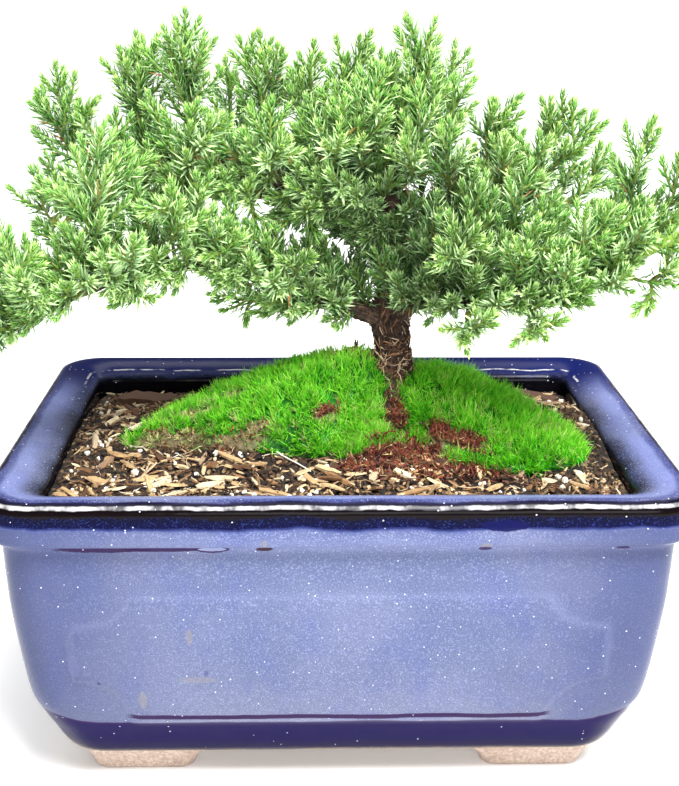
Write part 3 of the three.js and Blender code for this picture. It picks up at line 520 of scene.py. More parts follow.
def pot_body():
    """Rings of points, and for each point how far it is along the glaze and its share of a panel."""
    outside = profile_curve(POT_OUTSIDE, OUTSIDE_STEP)
    inside = profile_curve([POT_OUTSIDE[-1], *POT_INSIDE], INSIDE_STEP)[1:]
    rings, panels = zip(*(outer_level(*level) for level in outside))
    inner = [at_height(rounded_ring(HALF_X - inset, HALF_Y - inset, radius, *POT_STEPS), z)
             for z, inset, radius in inside]
    rings = np.array([*rings, *inner])
    panels = np.array([*panels, *(np.zeros(len(ring)) for ring in inner)])
    runs = np.concatenate([skin_runs(outside[::-1], outside[-1])[::-1], -skin_runs(inside, outside[-1])])
    beyond = np.maximum(np.abs(rings[..., :2]) - CLIMB_FROM, 0) / CLIMB_OVER
    corner = smoothstep(0.5, 1.0, np.hypot(beyond[..., 0], beyond[..., 1]))
    climbed = runs[:, None] + CLIMB * corner * smoothstep(70, 82, runs)[:, None]
    low, high = GLAZE_RUN
    return rings, (climbed - low) / (high - low), panels


def lip_painted_highlights(net, run, steady, y):
    """Painted highlights: a pale ragged line over the lip, and a fainter one behind the far lip."""
    ragged = net.noise(130.0, 3.0, 0.7, net.stretched(net.place, 1, 1, 0))
    crest = net.times(net.step(net.away(steady, 3.0), 0.3, 0.8, 1.0, 0.0),
                      net.step(ragged, 0.36, 0.58, 0.12, 0.85))
    inner = net.times(net.step(net.away(run, -9.4), 0.12, 0.5, 1.0, 0.0),
                      net.step(ragged, 0.4, 0.56, 0.0, 0.8), net.step(y, 0.04, 0.05))
    net.coat((196, 194, 196), net.math("MAXIMUM", crest, inner))


def panel_foot_painted_shade(net, wave, outward, y, z):
    """Painted shade: the dark line along the foot of each panel, where its edge faces down and the glaze runs
    thin.
    """
    offset = net.away(net.plus(z, net.swing(wave, 0.002)), 0.0274)
    on_front = net.step(outward, 0.0605, 0.0635, 1.0, 0.0)
    on_side = net.step(net.math("ABSOLUTE", y), 0.034, 0.037, 1.0, 0.0)
    line = net.step(offset, 0.00082, 0.00102, 1.0, 0.0)
    net.coat((44, 24, 66), line, net.math("MAXIMUM", on_front, on_side))


def front_marks_and_reflections(net, x, y, z):
    """Marks on the front: painted reflections of dark things along the crease under the lip, and marks where
    the glaze pooled or ran thin.
    """
    ragged = net.swing(net.noise(500.0, 3.0), 0.9)
    front = net.math("LESS_THAN", y, -0.055)
    for cx, cz, half_x, half_z, tone, strength in FRONT_MARKS:
        across = net.math("MULTIPLY_ADD", x, 1 / (half_x * MM), -(cx * MM + float(SHIFT[0])) / (half_x * MM))
        down = net.math("MULTIPLY_ADD", z, 1 / (half_z * MM), -cz / half_z)
        reach = net.plus(net.times(across, across), net.times(down, down), ragged)
        net.coat(tone, net.step(reach, 0.8, 1.2, strength, 0.0), front)


def glaze_material():
    net = Net("blue_glaze")
    x, y, z = net.axes(net.place)
    share, panel, _ = net.channels("glaze_run")
    low, high = GLAZE_RUN
    run = net.math("MULTIPLY_ADD", share, high - low, low)
    outward = net.away(x, float(SHIFT[0]))
    # the bands wander a little, and the dark one at the foot climbs at the pot's corners
    wave = net.noise(42.0, 3.0, 0.6)
    drift, jitter = net.swing(wave, 4.2), net.swing(net.noise(300.0), 0.7)
    climb = net.times(net.step(outward, 0.071, 0.09), net.step(z, 0.034, 0.05, 6.5, 0.0))
    steady = net.plus(net.times(drift, 0.3), run, jitter)
    run_here = net.plus(run, drift, jitter, climb)
    share_here = net.math("MULTIPLY_ADD", run_here, 1 / (high - low), -low / (high - low))
    net.colour = net.ramp(share_here, [((at - low) / (high - low), tone) for at, tone in GLAZE])
    walls, rim = net.band(run_here, 9.2, 10.2, 82.0, 82.9), net.band(run_here, -14, -10, 0.2, 1.2)
    pale = net.math("MAXIMUM", walls, rim)
    # cloudy depth and fine grain
    cloud, deep = net.noise(26.0, 3.0, 0.55), net.noise(60.0, 4.0, 0.6, net.stretched(net.place, 1, 1, 0.6))
    net.coat((112, 116, 142), pale, net.step(cloud, 0.4, 0.7, 0.0, 0.5))
    net.coat((70, 82, 138), pale, net.step(deep, 0.46, 0.7, 0.0, 0.3))
    grain = net.noise(2300.0, 2.0, 0.6)
    net.coat((70, 96, 196), net.band(run_here, 5.2, 6.4, 8.8, 9.2), net.step(grain, 0.55, 0.72, 0.0, 0.22))
    net.coat((156, 166, 204), pale, net.step(grain, 0.52, 0.68, 0.0, 0.42))
    net.coat((68, 82, 142), pale, net.step(grain, 0.47, 0.33, 0.0, 0.36))
    # painted shade: darker towards the pot's ends and on the far rim
    shaded = net.math("MAXIMUM", walls, net.times(rim, 0.25))
    net.coat((60, 66, 100), shaded, net.step(outward, 0.03, 0.1, 0.0, 0.78))
    net.coat((0, 12, 70), rim, net.step(y, 0.02, 0.055))
    # painted highlights on the lip
    lip_painted_highlights(net, run_here, steady, y)
    # a pale line along the panels' edges: painted highlight, where the glaze also runs thin
    net.coat((170, 176, 206), panel, net.math("SUBTRACT", 1.0, panel), 0.2)
    # painted shade under the panels
    panel_foot_painted_shade(net, wave, outward, y, z)
    # painted reflections and glaze marks on the front
    front_marks_and_reflections(net, x, y, z)
    # pin-sized white specks
    distance, pick = net.cells(480.0)
    dot = net.times(net.math("LESS_THAN", distance, 0.1), net.math("GREATER_THAN", pick, 0.74))
    net.coat((232, 236, 250), dot, 0.75)
    waves = net.plus(net.times(net.noise(90.0), 0.7), net.times(grain, 0.06), net.times(dot, 0.08))
    net.bump(waves, 0.0006, 0.5)
    roughness = net.plus(net.times(pale, 0.13), 0.09, net.step(run, 98.0, 98.8, 0.0, 0.6))
    return net.finish(roughness, Specular_IOR_Level=0.07)


def clay_material():
    net = Net("bare_clay")
    grain = net.noise(900.0, 4.0, 0.7)
    net.colour = net.mix(net.step(grain, 0.35, 0.7), (168, 146, 132), (206, 188, 172))
    net.coat((150, 124, 112), net.step(net.noise(60.0), 0.4, 0.7, 0.0, 0.4))
    net.bump(grain, 0.0004, 0.6)
    return net.finish(0.86)


def add_foot(heap, sx, sy):
    rings = []
    levels = [(x0, x1, z, y0, y1) for z, x0, x1, y0, y1 in FOOT_LEVELS]
    for x0, x1, z, y0, y1 in curve_through(levels, FOOT_STEP):
        ring = rounded_ring((x1 - x0) / 2, (y1 - y0) / 2, FOOT_CORNER, *FOOT_STEPS)
        ring = (ring + ((x0 + x1) / 2, (y0 + y1) / 2)) * (sx, sy)
        rings.append(at_height(ring, max(z, 0))[::sx * sy])
    heap.loft(rings)


def drill(body):
    """Cuts the two drain holes through the pot's floor."""
    cutters = Heap()
    angles = np.arange(DRAIN_SIDES) * TURN / DRAIN_SIDES
    for x in (-DRAIN_X, DRAIN_X):
        ring = np.column_stack([x + DRAIN_RADIUS * np.cos(angles), DRAIN_RADIUS * np.sin(angles)])
        cutters.loft([at_height(ring, z) for z in DRAIN_REACH], index=1)
    cutter = cutters.item("drill", body.data.materials)
    cut = body.modifiers.new("drain", "BOOLEAN")
    cut.operation, cut.solver, cut.object = "DIFFERENCE", "EXACT", cutter
    graph = bpy.context.evaluated_depsgraph_get()
    drilled = bpy.data.meshes.new_from_object(body.evaluated_get(graph))
    body.modifiers.clear()
    body.data = drilled
    bpy.data.objects.remove(cutter)


def make_pot():
    glaze, clay = glaze_material(), clay_material()
    rings, share, panels = pot_body()
    heap = Heap("glaze_run")
    heap.loft(rings, glaze_run=(share.ravel(), panels.ravel(), 0))
    drill(heap.piece("glazed_pot", [glaze, clay], ["pot"], smooth=True))
    feet = Heap()
    for sx in (-1, 1):
        for sy in (-1, 1):
            add_foot(feet, sx, sy)
    feet.piece("pot_feet", [clay], ["pot"], smooth=True)


# ---------------------------------------------------------------- soil
SOIL_STEPS, SOIL_RINGS, SOIL_GAP = (6, 66, 44), 62, 0.35
SOIL_TONES = [(0.0, (12, 8, 6)), (0.5, (34, 23, 16)), (0.76, (74, 53, 37)), (0.92, (136, 106, 74)),
              (1.0, (190, 162, 124))]
WOOD_TONES = [(0.0, (40, 26, 18)), (0.22, (92, 60, 38)), (0.42, (160, 118, 76)), (0.6, (216, 184, 136)),
              (0.86, (250, 232, 194)), (1.0, (132, 84, 52))]
EARTH_TONES = [(0.0, (20, 14, 10)), (0.4, (52, 36, 25)), (0.65, (104, 76, 52)), (0.84, (176, 144, 104)),
               (1.0, (226, 206, 170))]
PERLITE_TONES = [(0.0, (206, 198, 182)), (1.0, (250, 248, 240))]
THREAD_TONES = [(0.0, (60, 36, 22)), (0.5, (132, 96, 62)), (0.85, (196, 170, 132)), (1.0, (240, 236, 226))]
# Loose bits: how many, their gap to the moss, how far they gather in front, their gap to the rim's edge
LONG_CHIPS, SHORT_CHIPS = (125, 4, 0.8, 22.8), (620, 1.0, 0.5, 19.6)
CRUMBS, PERLITE, THREADS = (3300, -1, 0.35, 17.6), (112, 1.5, 0.6), (260, -2, 0.3)
# Least and most of a chip's length, width and thickness
LONG_SIZES = [(4.5, 11.5), (1.0, 2.7), (0.5, 1.1)]
SHORT_SIZES = [(1.5, 3.9), (0.5, 1.4), (0.3, 0.8)]
BARK_THICKNESS = 2.4
# Two large pieces of bark that lie behind the mound: X, Y, length, width, tone
BARK_PIECES = [(-66, 42, 20, 9, 0.14), (71, 43, 19, 10, 0.14)]
STRAW = [(-21.5, -27.5, 99.0), (-17, -32, 97.5), (-12, -37, 96.6), (-8.5, -41, 95.8)]


def soil_material():
    net = Net("potting_soil")
    distance, pick = net.cells(620.0)
    net.colour = net.ramp(pick, SOIL_TONES)
    net.coat((30, 20, 13), net.step(net.noise(70.0, 3.0), 0.42, 0.62, 0.0, 0.6))
    net.bump(net.math("SUBTRACT", net.noise(1500.0, 3.0), distance), 0.001, 0.9)
    return net.finish(0.93)


def bits_material(name, tones, grain):
    """Loose bits: colour picked by bit, with streaks along each."""
    net = Net(name)
    pick, along, across = net.channels("bit")
    net.colour = net.ramp(pick, tones)
    lines = net.noise(2.2, 4.0, 0.65, net.stretched(net.vector(along, across, pick), 1.5, 9, 40))
    net.coat((62, 38, 20), net.step(lines, 0.42, 0.68, 0.0, grain))
    net.bump(net.plus(lines, net.noise(1400.0, 3.0)), 0.0004, 0.8)
    return net.finish(0.85)


def make_soil():
    """The filling: rings up the pot's wall, then rings over the mound that close in on its top."""
    rings = []
    for z, inset, radius in reversed(POT_INSIDE[4:]):
        half_x, half_y = HALF_X - inset - SOIL_GAP, HALF_Y - inset - SOIL_GAP
        rings.append(at_height(rounded_ring(half_x, half_y, radius, *SOIL_STEPS), z + SOIL_GAP))
    edge = rounded_ring(HALF_X - 16.4, HALF_Y - 16.4, 6, *SOIL_STEPS)
    for scale in 1 - np.linspace(0, 1, SOIL_RINGS)[:-1] ** 1.1:
        ring = edge * scale + np.array([MOUND_X, MOUND_Y]) * (1 - scale)
        bumps = np.array([rough((x, y, 0), 2.6) * 0.75 + rough((x, y, 9), 9) * 0.8 for x, y in ring])
        rings.append(at_height(ring, soil_height(*ring.T) + bumps - 0.3))
    heap = Heap()
    heap.loft(rings)
    heap.piece("soil_bed", [soil_material()], ["soil"], smooth=True)


def distance_to_spine(spine, x, y):
    best = np.full(np.shape(x), 1e9)
    for (ax, ay, aw), (bx, by, bw) in zip(spine, spine[1:]):
        t = np.clip(((x - ax) * (bx - ax) + (y - ay) * (by - ay)) / ((bx - ax) ** 2 + (by - ay) ** 2), 0, 1)
        gap = np.hypot(x - ax - t * (bx - ax), y - ay - t * (by - ay)) - (aw + t * (bw - aw))
        best = np.minimum(best, gap)
    return best


def open_spots(rng, count, margin, front=0.0, edge=18.5):
    """Places on the soil clear of the moss and the trunk. front draws more of them to the pot's front."""
    spots = []
    half_x, half_y = HALF_X - edge, HALF_Y - edge
    while len(spots) < count:
        x, y = rng.uniform(-half_x, half_x), rng.uniform(-half_y, half_y)
        if rng.random() < front * (y + half_y) / (2 * half_y):
            continue
        near = min(distance_to_spine(spine, x, y) for spine in (MOSS_LEFT, MOSS_RIGHT))
        if near > margin and math.hypot(x - TRUNK_X, y) > 9:
            spots.append((x, y))
    return spots


def settled(rng, points, tilt, x, y, lift):
    """Points turned to a random heading with a little tilt, and set down on the soil."""
    heading = Matrix.Rotation(rng.uniform(0, TURN), 3, "Z")
    lean = Matrix.Rotation(rng.normal(0, tilt), 3, "Y") @ Matrix.Rotation(rng.normal(0, tilt), 3, "X")
    return points @ np.array(heading @ lean).T + (x, y, float(soil_height(x, y)) + lift)


def add_chip(heap, rng, spot, sizes, tilt, lift, pick, count=5):
    """A splinter: a ragged, slightly bowed slab. Its sizes are length, width and thickness."""
    length, width, thickness = sizes
    us = np.linspace(-0.5, 0.5, count)
    bow = rng.uniform(-0.12, 0.12)
    left = 0.5 + rng.uniform(-0.16, 0.16, count)
    right = 0.5 + rng.uniform(-0.16, 0.16, count)
    taper = width * (1 - np.abs(us) ** 2 * rng.uniform(0.6, 2.4))
    rows = []
    for k, u in enumerate(us):
        thick = thickness * (0.5 if k in (0, count - 1) else 1) * rng.uniform(0.8, 1.1)
        middle = bow * length * (u * u - 0.1)
        near, far = -left[k] * taper[k], right[k] * taper[k]
        start = u * length
        low = start + rng.uniform(-0.08, 0.08) * length
        rows += [(low, near, middle - thick / 2), (start, far, middle - thick / 2),
                 (start, far * 0.86, middle + thick / 2), (low, near * 0.86, middle + thick / 2)]
    placed = settled(rng, np.array(rows), tilt, *spot, lift)
    heap.loft(placed.reshape(count, 4, 3), bit=(pick, np.repeat(us + 0.5, 4), np.tile([0, 1, 1, 0], count)))


def add_pebble(heap, rng, spot, size, lift, pick, steps=(5, 7)):
    rows, sides = steps
    offset = rng.uniform(0, 100)
    stretch = rng.uniform(0.7, 1.25, 3)
    points = []
    for k in range(1, rows):
        polar = math.pi * k / rows
        for i in range(sides):
            angle = TURN * i / sides
            out = math.sin(polar)
            spoke = np.array([out * math.cos(angle), out * math.sin(angle), -math.cos(polar)])
            points.append(spoke * stretch * size / 2 * (1 + 0.35 * rough(spoke * 2 + offset, 1.0, 2)))
    placed = settled(rng, np.array(points), 0.4, *spot, lift)
    heap.loft(placed.reshape(rows - 1, sides, 3), bit=(pick, 0.5, 0.5))


def add_fibre(heap, points, radii, pick, sides=3):
    heap.loft(tube(points, radii, sides), bit=(pick, 0.5, 0.5))


def wandering(rng, x, y, heading, length, steps, turn):
    """A thread that wanders over the soil from a start, a little above it."""
    points = [(x, y, float(soil_height(x, y)) + 0.6)]
    for _ in range(steps):
        heading += rng.normal(0, turn)
        x, y = x + length / steps * math.cos(heading), y + length / steps * math.sin(heading)
        points.append((x, y, float(soil_height(x, y)) + 0.8 + rng.uniform(-0.15, 0.35)))
    return np.array(points)


def make_chips(rng):
    heap = Heap("bit")
    for spot in open_spots(rng, *LONG_CHIPS):
        sizes = [rng.uniform(*ends) for ends in LONG_SIZES]
        add_chip(heap, rng, spot, sizes, 0.2, 0.9, rng.random())
    for spot in open_spots(rng, *SHORT_CHIPS):
        sizes = [rng.uniform(*ends) for ends in SHORT_SIZES]
        add_chip(heap, rng, spot, sizes, 0.35, 0.6, rng.random(), 3)
    for x, y, length, width, pick in BARK_PIECES:
        add_chip(heap, rng, (x, y), (length, width, BARK_THICKNESS), 0.2, BARK_THICKNESS, pick, 9)
    heap.piece("wood_chips", [bits_material("chip_wood", WOOD_TONES, 0.5)])


def make_crumbs(rng):
    heap = Heap("bit")
    for spot in open_spots(rng, *CRUMBS):
        size = rng.uniform(0.7, 1.9)
        if rng.random() < 0.5:
            add_chip(heap, rng, spot, (size * 2, size * 0.5, size * 0.3), 0.5, 0.4, rng.random() ** 0.7, 3)
        else:
            add_pebble(heap, rng, spot, size, 0.3, rng.random(), (3, 4))
    heap.piece("soil_crumbs", [bits_material("crumb", EARTH_TONES, 0.4)])


def make_perlite(rng):
    heap = Heap("bit")
    for spot in open_spots(rng, *PERLITE):
        add_pebble(heap, rng, spot, rng.uniform(0.9, 2.1), 0.5, rng.random())
    heap.piece("perlite_grains", [bits_material("perlite", PERLITE_TONES, 0.12)])


def make_threads(rng):
    heap = Heap("bit")
    room = np.array([HALF_X, HALF_Y]) - 18
    for x, y in open_spots(rng, *THREADS):
        length = rng.uniform(4, 13)
        path = wandering(rng, x, y, rng.uniform(0, 6.28), length, 6, 0.45)
        if np.all(np.abs(path[:, :2]) < room):
            thick = rng.uniform(0.1, 0.24)
            add_fibre(heap, path, np.linspace(thick, thick * 0.45, len(path)), rng.random())
    straw = curve_through(STRAW, 1.5)
    add_fibre(heap, straw, np.linspace(0.35, 0.35 * 0.45, len(straw)), 1.0, 5)
    heap.piece("dry_threads", [bits_material("thread", THREAD_TONES, 0.2)])


# ---------------------------------------------------------------- moss
MOSS_EDGE, MOSS_THICKNESS = 0.8, 3.4
STAR_SPIKES = 8
BLADE_FACES = [(2, 1, 0), (0, 1, 3), (1, 2, 3), (2, 0, 3)]
DRY_SPOTS = 1500
# Bare or browned patches in the green: centre, half sizes
BROWN_PATCHES = [
    (-4, -21, 4, 2.6), (19, -22, 3, 5), (31, -27, 4, 4.5), (19, -31.5, 9, 2.6), (40, -29, 6, 3),
    (-36, -6, 7, 2.2), (-47, -11, 8, 2.6), (-24, -22, 5, 2), (-58, -17, 6, 2.6), (-34, -26, 12, 3.4),
    (-50, -21, 9, 3),
]
# Green tufts on the soil in front of the trunk: centre, half sizes
TUFTS = [(13, -26, 8, 5), (25, -25, 4, 4), (2, -29, 8, 4), (35, -33, 4, 2.5), (48, -35, 7, 2), (9, -18, 6, 5)]
GREEN_TONES = [(0.0, (6, 104, 2)), (0.3, (36, 170, 6)), (0.58, (92, 226, 16)), (0.84, (172, 246, 70)),
               (1.0, (232, 252, 150))]
DRY_TONES = [(0.0, (30, 14, 12)), (0.35, (84, 36, 30)), (0.7, (136, 62, 48)), (1.0, (186, 112, 76))]
# Painted shade at the blades' roots, then the tip and withered tints of the blades
GREEN_TINTS = (20, 84, 8), (176, 244, 70), (206, 186, 140)
DRY_TINTS = (90, 60, 50), (190, 110, 84), (196, 176, 110)


def moss_place(spine, u, v):
    """Point and outward direction on a cushion's top. u runs along its spine, v across it from -1 to 1."""
    rows = curve_through(spine, 2.0)
    spot = np.clip(u, 0, 1) * (len(rows) - 1)
    k = np.minimum(spot.astype(int), len(rows) - 2)
    t = (spot - k)[:, None]
    at = rows[k] * (1 - t) + rows[k + 1] * t
    ahead = rows[k + 1] - rows[k]
    across = unit(np.column_stack([-ahead[:, 1], ahead[:, 0]]))
    xy = at[:, :2] + across * (v * at[:, 2])[:, None]
    dome = np.sqrt(np.maximum(0, 1 - v * v)) * np.minimum(1, np.sin(np.pi * np.clip(u, 0, 1)) * 2.2)
    return at_height(xy, soil_height(*xy.T) + MOSS_EDGE + MOSS_THICKNESS * dome), across, dome


def moss_material(name, tones, tints, light=1.0):
    net = Net(name)
    along, age, pick = net.channels("blade")
    root, tip, withered = tints
    cloud = net.noise(70.0, 3.0, 0.6)
    # light makes a brighter copy of the tones: painted light, for a cushion in shade
    net.colour = net.ramp(net.plus(net.times(pick, 0.72), net.step(cloud, 0.3, 0.7, 0.0, 0.34)), tones, light)
    # painted shade: darker at the blades' roots, and on the bed below them, whose blade place is 0
    root_shaded = net.mix(0.55, net.colour, root, "MULTIPLY")
    net.colour = net.mix(net.times(along, 0.55), root_shaded, net.colour)
    net.coat(tip, net.step(along, 0.35, 1.0, 0.0, 0.42))
    fine = net.noise(900.0, 3.0, 0.7)
    net.coat(net.mix(net.times(net.plus(pick, fine), 0.62), (52, 36, 24), withered), age)
    return net.finish(0.6, Specular_IOR_Level=0.3)


def add_blades(heap, rng, base, lean, lengths, widths, age):
    """Thin straight spikes of three sides."""
    count = len(base)
    across = unit(np.cross(lean, rng.normal(size=(count, 3))))
    third = unit(np.cross(lean, across))
    half = (widths / 2)[:, None]
    corners = [base + (across * math.cos(a) + third * math.sin(a)) * half for a in (0, 2.094, 4.189)]
    points = np.stack([*corners, base + lean * lengths[:, None]], 1)
    faces = [[k * 4 + i for i in face] for k in range(count) for face in BLADE_FACES]
    picks = np.repeat(rng.random(count), 4)
    heap.add(points, faces, blade=(np.tile([0, 0, 0, 1], count), np.repeat(age, 4), picks))


def add_stars(heap, rng, base, lean, lengths, age):
    """Moss shoots: spikes that spread from one foot around a common direction."""
    base, lean, lengths, age = (np.repeat(v, STAR_SPIKES, 0) for v in (base, lean, lengths, age))
    count = len(base)
    side = unit(np.cross(lean, (0.3, 0.2, 1.0)))
    front = np.cross(side, lean)
    angle = np.arange(count) % STAR_SPIKES * TURN / STAR_SPIKES + rng.uniform(-0.5, 0.5, count)
    spread = rng.uniform(0.12, 0.85, count)[:, None]
    lean = unit(lean + (side * np.cos(angle)[:, None] + front * np.sin(angle)[:, None]) * spread)
    base = base + rng.normal(0, 0.3, (count, 3)) * (1, 1, 0.4)
    lengths = lengths * rng.uniform(0.75, 1.15, count)
    add_blades(heap, rng, base, lean, lengths, rng.uniform(0.36, 0.6, count), age)


def browned(x, y):
    share = np.zeros(np.shape(x))
    for cx, cy, rx, ry in BROWN_PATCHES:
        share = np.maximum(share, smoothstep(1.25, 0.75, np.hypot((x - cx) / rx, (y - cy) / ry)))
    return share


def moss_bed(heap, spine, steps, bump, drop, sink, floor, age, pick):
    """The dense body of a cushion below its blades, closed underneath. sink lowers its crown."""
    columns, rows = steps
    height, size = bump
    rings = []
    for i in range(columns + 1):
        place, _, dome = moss_place(spine, np.full(rows + 1, i / columns), np.linspace(-1, 1, rows + 1))
        place[:, 2] += height * np.array([rough(p, size) for p in place]) - drop - sink * dome
        rings.append(np.vstack([place, at_height(place[::-1, :2], SOIL_LEVEL - floor)]))
    x, y, _ = np.concatenate(rings).T
    heap.loft(rings, flip=True, blade=(0, age * browned(x, y), pick))


def soil_slope(x, y):
    """Downhill direction of the soil's surface."""
    rise = soil_height(x, y) - SOIL_LEVEL
    slope_x, slope_y = (x - MOUND_X) / MOUND_SPREAD_X ** 2, (y - MOUND_Y) / MOUND_SPREAD_Y ** 2
    return np.column_stack([slope_x * rise, slope_y * rise, np.zeros(len(x))])


def cushion_spots(rng, spine, per_mm2):
    """Random places on a cushion, fewer where it is narrow or browned and none at the trunk."""
    area = sum(math.hypot(bx - ax, by - ay) * (aw + bw)
               for (ax, ay, aw), (bx, by, bw) in zip(spine, spine[1:]))
    count = int(area * per_mm2 * 1.6)
    u, v = rng.random(count), rng.uniform(-1.02, 1.02, count)
    widths = [w for _, _, w in spine]
    kept = rng.random(count) < np.interp(u, np.linspace(0, 1, len(spine)), widths) / max(widths)
    u, v = u[kept], v[kept]
    base, across, _ = moss_place(spine, u, v)
    clear = np.hypot(base[:, 0] - TRUNK_X, base[:, 1] + 2) > 7.5
    bare = browned(base[:, 0], base[:, 1])
    clear &= rng.random(len(u)) > bare * np.where(base[:, 0] < -15, 0.3, 0.8)
    return v[clear], base[clear], across[clear], bare[clear]


def make_green_moss(name, spine, node, seed, per_mm2, light=1.0):
    rng = np.random.default_rng(seed)
    heap = Heap("blade")
    moss_bed(heap, spine, (46, 22), (0.5, 4.0), 0.3, 0, 3, 0.9, -0.2)
    v, base, across, bare = cushion_spots(rng, spine, per_mm2)
    x, y, _ = base.T
    outward = at_height(across * v[:, None], 0)
    flow = np.array([noise.noise_vector(Vector(p) / 5.0) for p in base])
    lean = unit((0, 0, 1.0) + outward * 0.75 * np.abs(v)[:, None] + soil_slope(x, y) * 0.55 + flow * 0.9
                + rng.normal(0, 0.36, (len(v), 3)))
    tuft = np.array([noise.noise(Vector(p) / 5.0) for p in base])
    crest = 0.4 * np.exp(-((x - 2) / 9) ** 2 - ((y + 4) / 9) ** 2)
    lengths = rng.uniform(3.0, 5.2, len(v)) * (1 + 0.35 * tuft + crest) * (1 - 0.45 * bare)
    # a few blades have withered, more of them at the front edge and in the browned patches
    front_edge = smoothstep(0.45, 1.0, np.abs(v)) * 0.55 * smoothstep(-18, -34, y) * 0.6
    withered = rng.random(len(v)) < 0.04 + 0.22 * front_edge
    age = np.clip(withered * 0.7 + bare * rng.uniform(0.5, 1.2, len(v)), 0, 1)
    add_stars(heap, rng, base - (0, 0, 0.6), lean, lengths, age)
    heap.piece(name, [moss_material(name + "_green", GREEN_TONES, GREEN_TINTS, light)], [node])


def make_moss_tufts():
    rng = np.random.default_rng(SEED + 6)
    heap = Heap("blade")
    for cx, cy, rx, ry in TUFTS:
        count = int(rx * ry * 5)
        spots = np.array([cx, cy]) + rng.normal(0, 0.42, (count, 2)) * (rx, ry)
        clear = np.hypot(spots[:, 0] - TRUNK_X, spots[:, 1]) > 8.5
        spots = spots[(rng.random(count) > browned(*spots.T) * 0.85) & clear]
        away = (spots - (cx, cy)) / (rx, ry)
        lean = unit(at_height(away * 0.55, 1) + rng.normal(0, 0.25, (len(spots), 3)))
        lengths = rng.uniform(2.6, 4.8, len(spots))
        age = (rng.random(len(spots)) < 0.12) * 0.7
        add_stars(heap, rng, at_height(spots, soil_height(*spots.T) - 0.5), lean, lengths, age)
    heap.piece("green_moss_tufts", [moss_material("moss_tufts_green", GREEN_TONES, GREEN_TINTS)])


def dry_spots(rng):
    """Places of red-brown blades: along the dry strip, and in the browned patches of the green."""
    spots = []
    while len(spots) < DRY_SPOTS:
        x, y = rng.uniform(-2, 60), rng.uniform(-52, -20)
        inside = distance_to_spine(MOSS_DRY, x, y) < 0.5 and rng.random() < smoothstep(-48, -37, y)
        if inside or rng.random() < browned(x, y):
            spots.append((x, y))
    for cx, cy, rx, ry in BROWN_PATCHES:
        for _ in range(int(rx * ry * (9 if cx > -10 else 1.2))):
            spots.append((cx + rx * rng.normal(0, 0.5), cy + ry * rng.normal(0, 0.5)))
    return np.array(spots)


def make_dry_moss():
    rng = np.random.default_rng(SEED + 5)
    heap = Heap("blade")
    spots = dry_spots(rng)
    count = len(spots)
    over_green = np.min([distance_to_spine(spine, *spots.T) for spine in (MOSS_LEFT, MOSS_RIGHT)], 0) < -1
    ground = soil_height(*spots.T) + np.where(over_green, 3.4, 0.4) + rng.uniform(0, 1.2, count)
    lean = unit(rng.normal(0, 0.8, (count, 3)) + (0, 0, 0.55))
    lengths, widths = rng.uniform(1.1, 3.0, count), rng.uniform(0.35, 0.9, count)
    age = (rng.random(count) < 0.12) * 0.8
    add_blades(heap, rng, at_height(spots, ground), lean, lengths, widths, age)
    moss_bed(heap, MOSS_DRY, (30, 8), (0.4, 2.5), 0.5, 3.1, 2, 0, -0.6)
    heap.piece("dry_moss", [moss_material("dry_moss_brown", DRY_TONES, DRY_TINTS)], ["moss_dry"])


# ---------------------------------------------------------------- wood
OLD_BARK = [(0.28, (10, 7, 6)), (0.47, (38, 27, 21)), (0.6, (98, 72, 54)), (0.72, (182, 150, 120)),
            (0.88, (230, 212, 188))]
GREEN_BARK = [(0.25, (110, 120, 40)), (0.5, (160, 172, 66)), (0.75, (206, 208, 112))]
ROOT_TONES = [(0.0, (26, 15, 10)), (0.45, (88, 56, 38)), (0.75, (156, 114, 80)), (1.0, (230, 208, 172))]
# How many there are of each small thing on the wood
FLAKES, ROOT_HAIRS, ROOT_FIBRES, TRUNK_FIBRES, TANGLED, SCRAPS = 420, 260, 70, 110, 900, 90
# The foot of the trunk inside its root hairs: height, Y, radius
HAIRY_FOOT = np.array([(96, 0, 8), (107, -2, 7.4), (113, -3, 6.2), (118, -3, 5.8), (124, -2, 5.2)])


def bark_material():
    net = Net("bark")
    young, along, around = net.channels("grain")
    strips = net.noise(1.0, 4.0, 0.65, net.stretched(net.vector(along, around, 0.0), 9, 34, 1))
    flakes = net.noise(640.0, 4.0, 0.7, net.stretched(net.place, 1, 1, 0.6))
    tone = net.plus(net.times(strips, 0.55), net.times(flakes, 0.5))
    net.colour = net.mix(young, net.ramp(tone, OLD_BARK), net.ramp(tone, GREEN_BARK))
    net.bump(tone, 0.002)
    return net.finish(0.85)


def bark_tube(heap, rows, sides, step, ridge, young_at=None, seed=0):
    """A limb with ridged, flaky bark. Between the radii of young_at it turns to a green stem."""
    path = curve_through(rows, step)
    points, radii = path[:, :3], path[:, 3]
    travelled = np.concatenate([[0], np.cumsum(np.linalg.norm(np.diff(points, axis=0), axis=1))])
    swell = np.ones((len(points), sides, 1))
    for k, length in enumerate(travelled):
        for i in range(sides):
            x, y = math.cos(TURN * i / sides) * 2.2, math.sin(TURN * i / sides) * 2.2
            z = length * 0.22 + seed * 17
            swell[k, i] += ridge * (rough((x, y, z), 1.0, 4) + 0.5 * rough((x * 3, y * 3, z * 4), 1.0, 2))
    young = smoothstep(*reversed(young_at), radii) if young_at else np.zeros(len(points))
    around = np.tile(np.abs(np.arange(sides) / sides - 0.5), len(points))
    grain = np.repeat(young, sides), np.repeat(travelled * 0.01, sides), around
    heap.loft(tube(points, radii, sides, swell), grain=grain)


def limb_nearest(rows, root):
    """The place on a limb's line that lies nearest to a point."""
    places = []
    for a, b in zip(rows, rows[1:]):
        a, b = np.array(a[:3], float), np.array(b[:3], float)
        places.append(a + (b - a) * np.clip((root - a) @ (b - a) / ((b - a) @ (b - a)), 0, 1))
    return min(places, key=lambda place: np.linalg.norm(place - root))


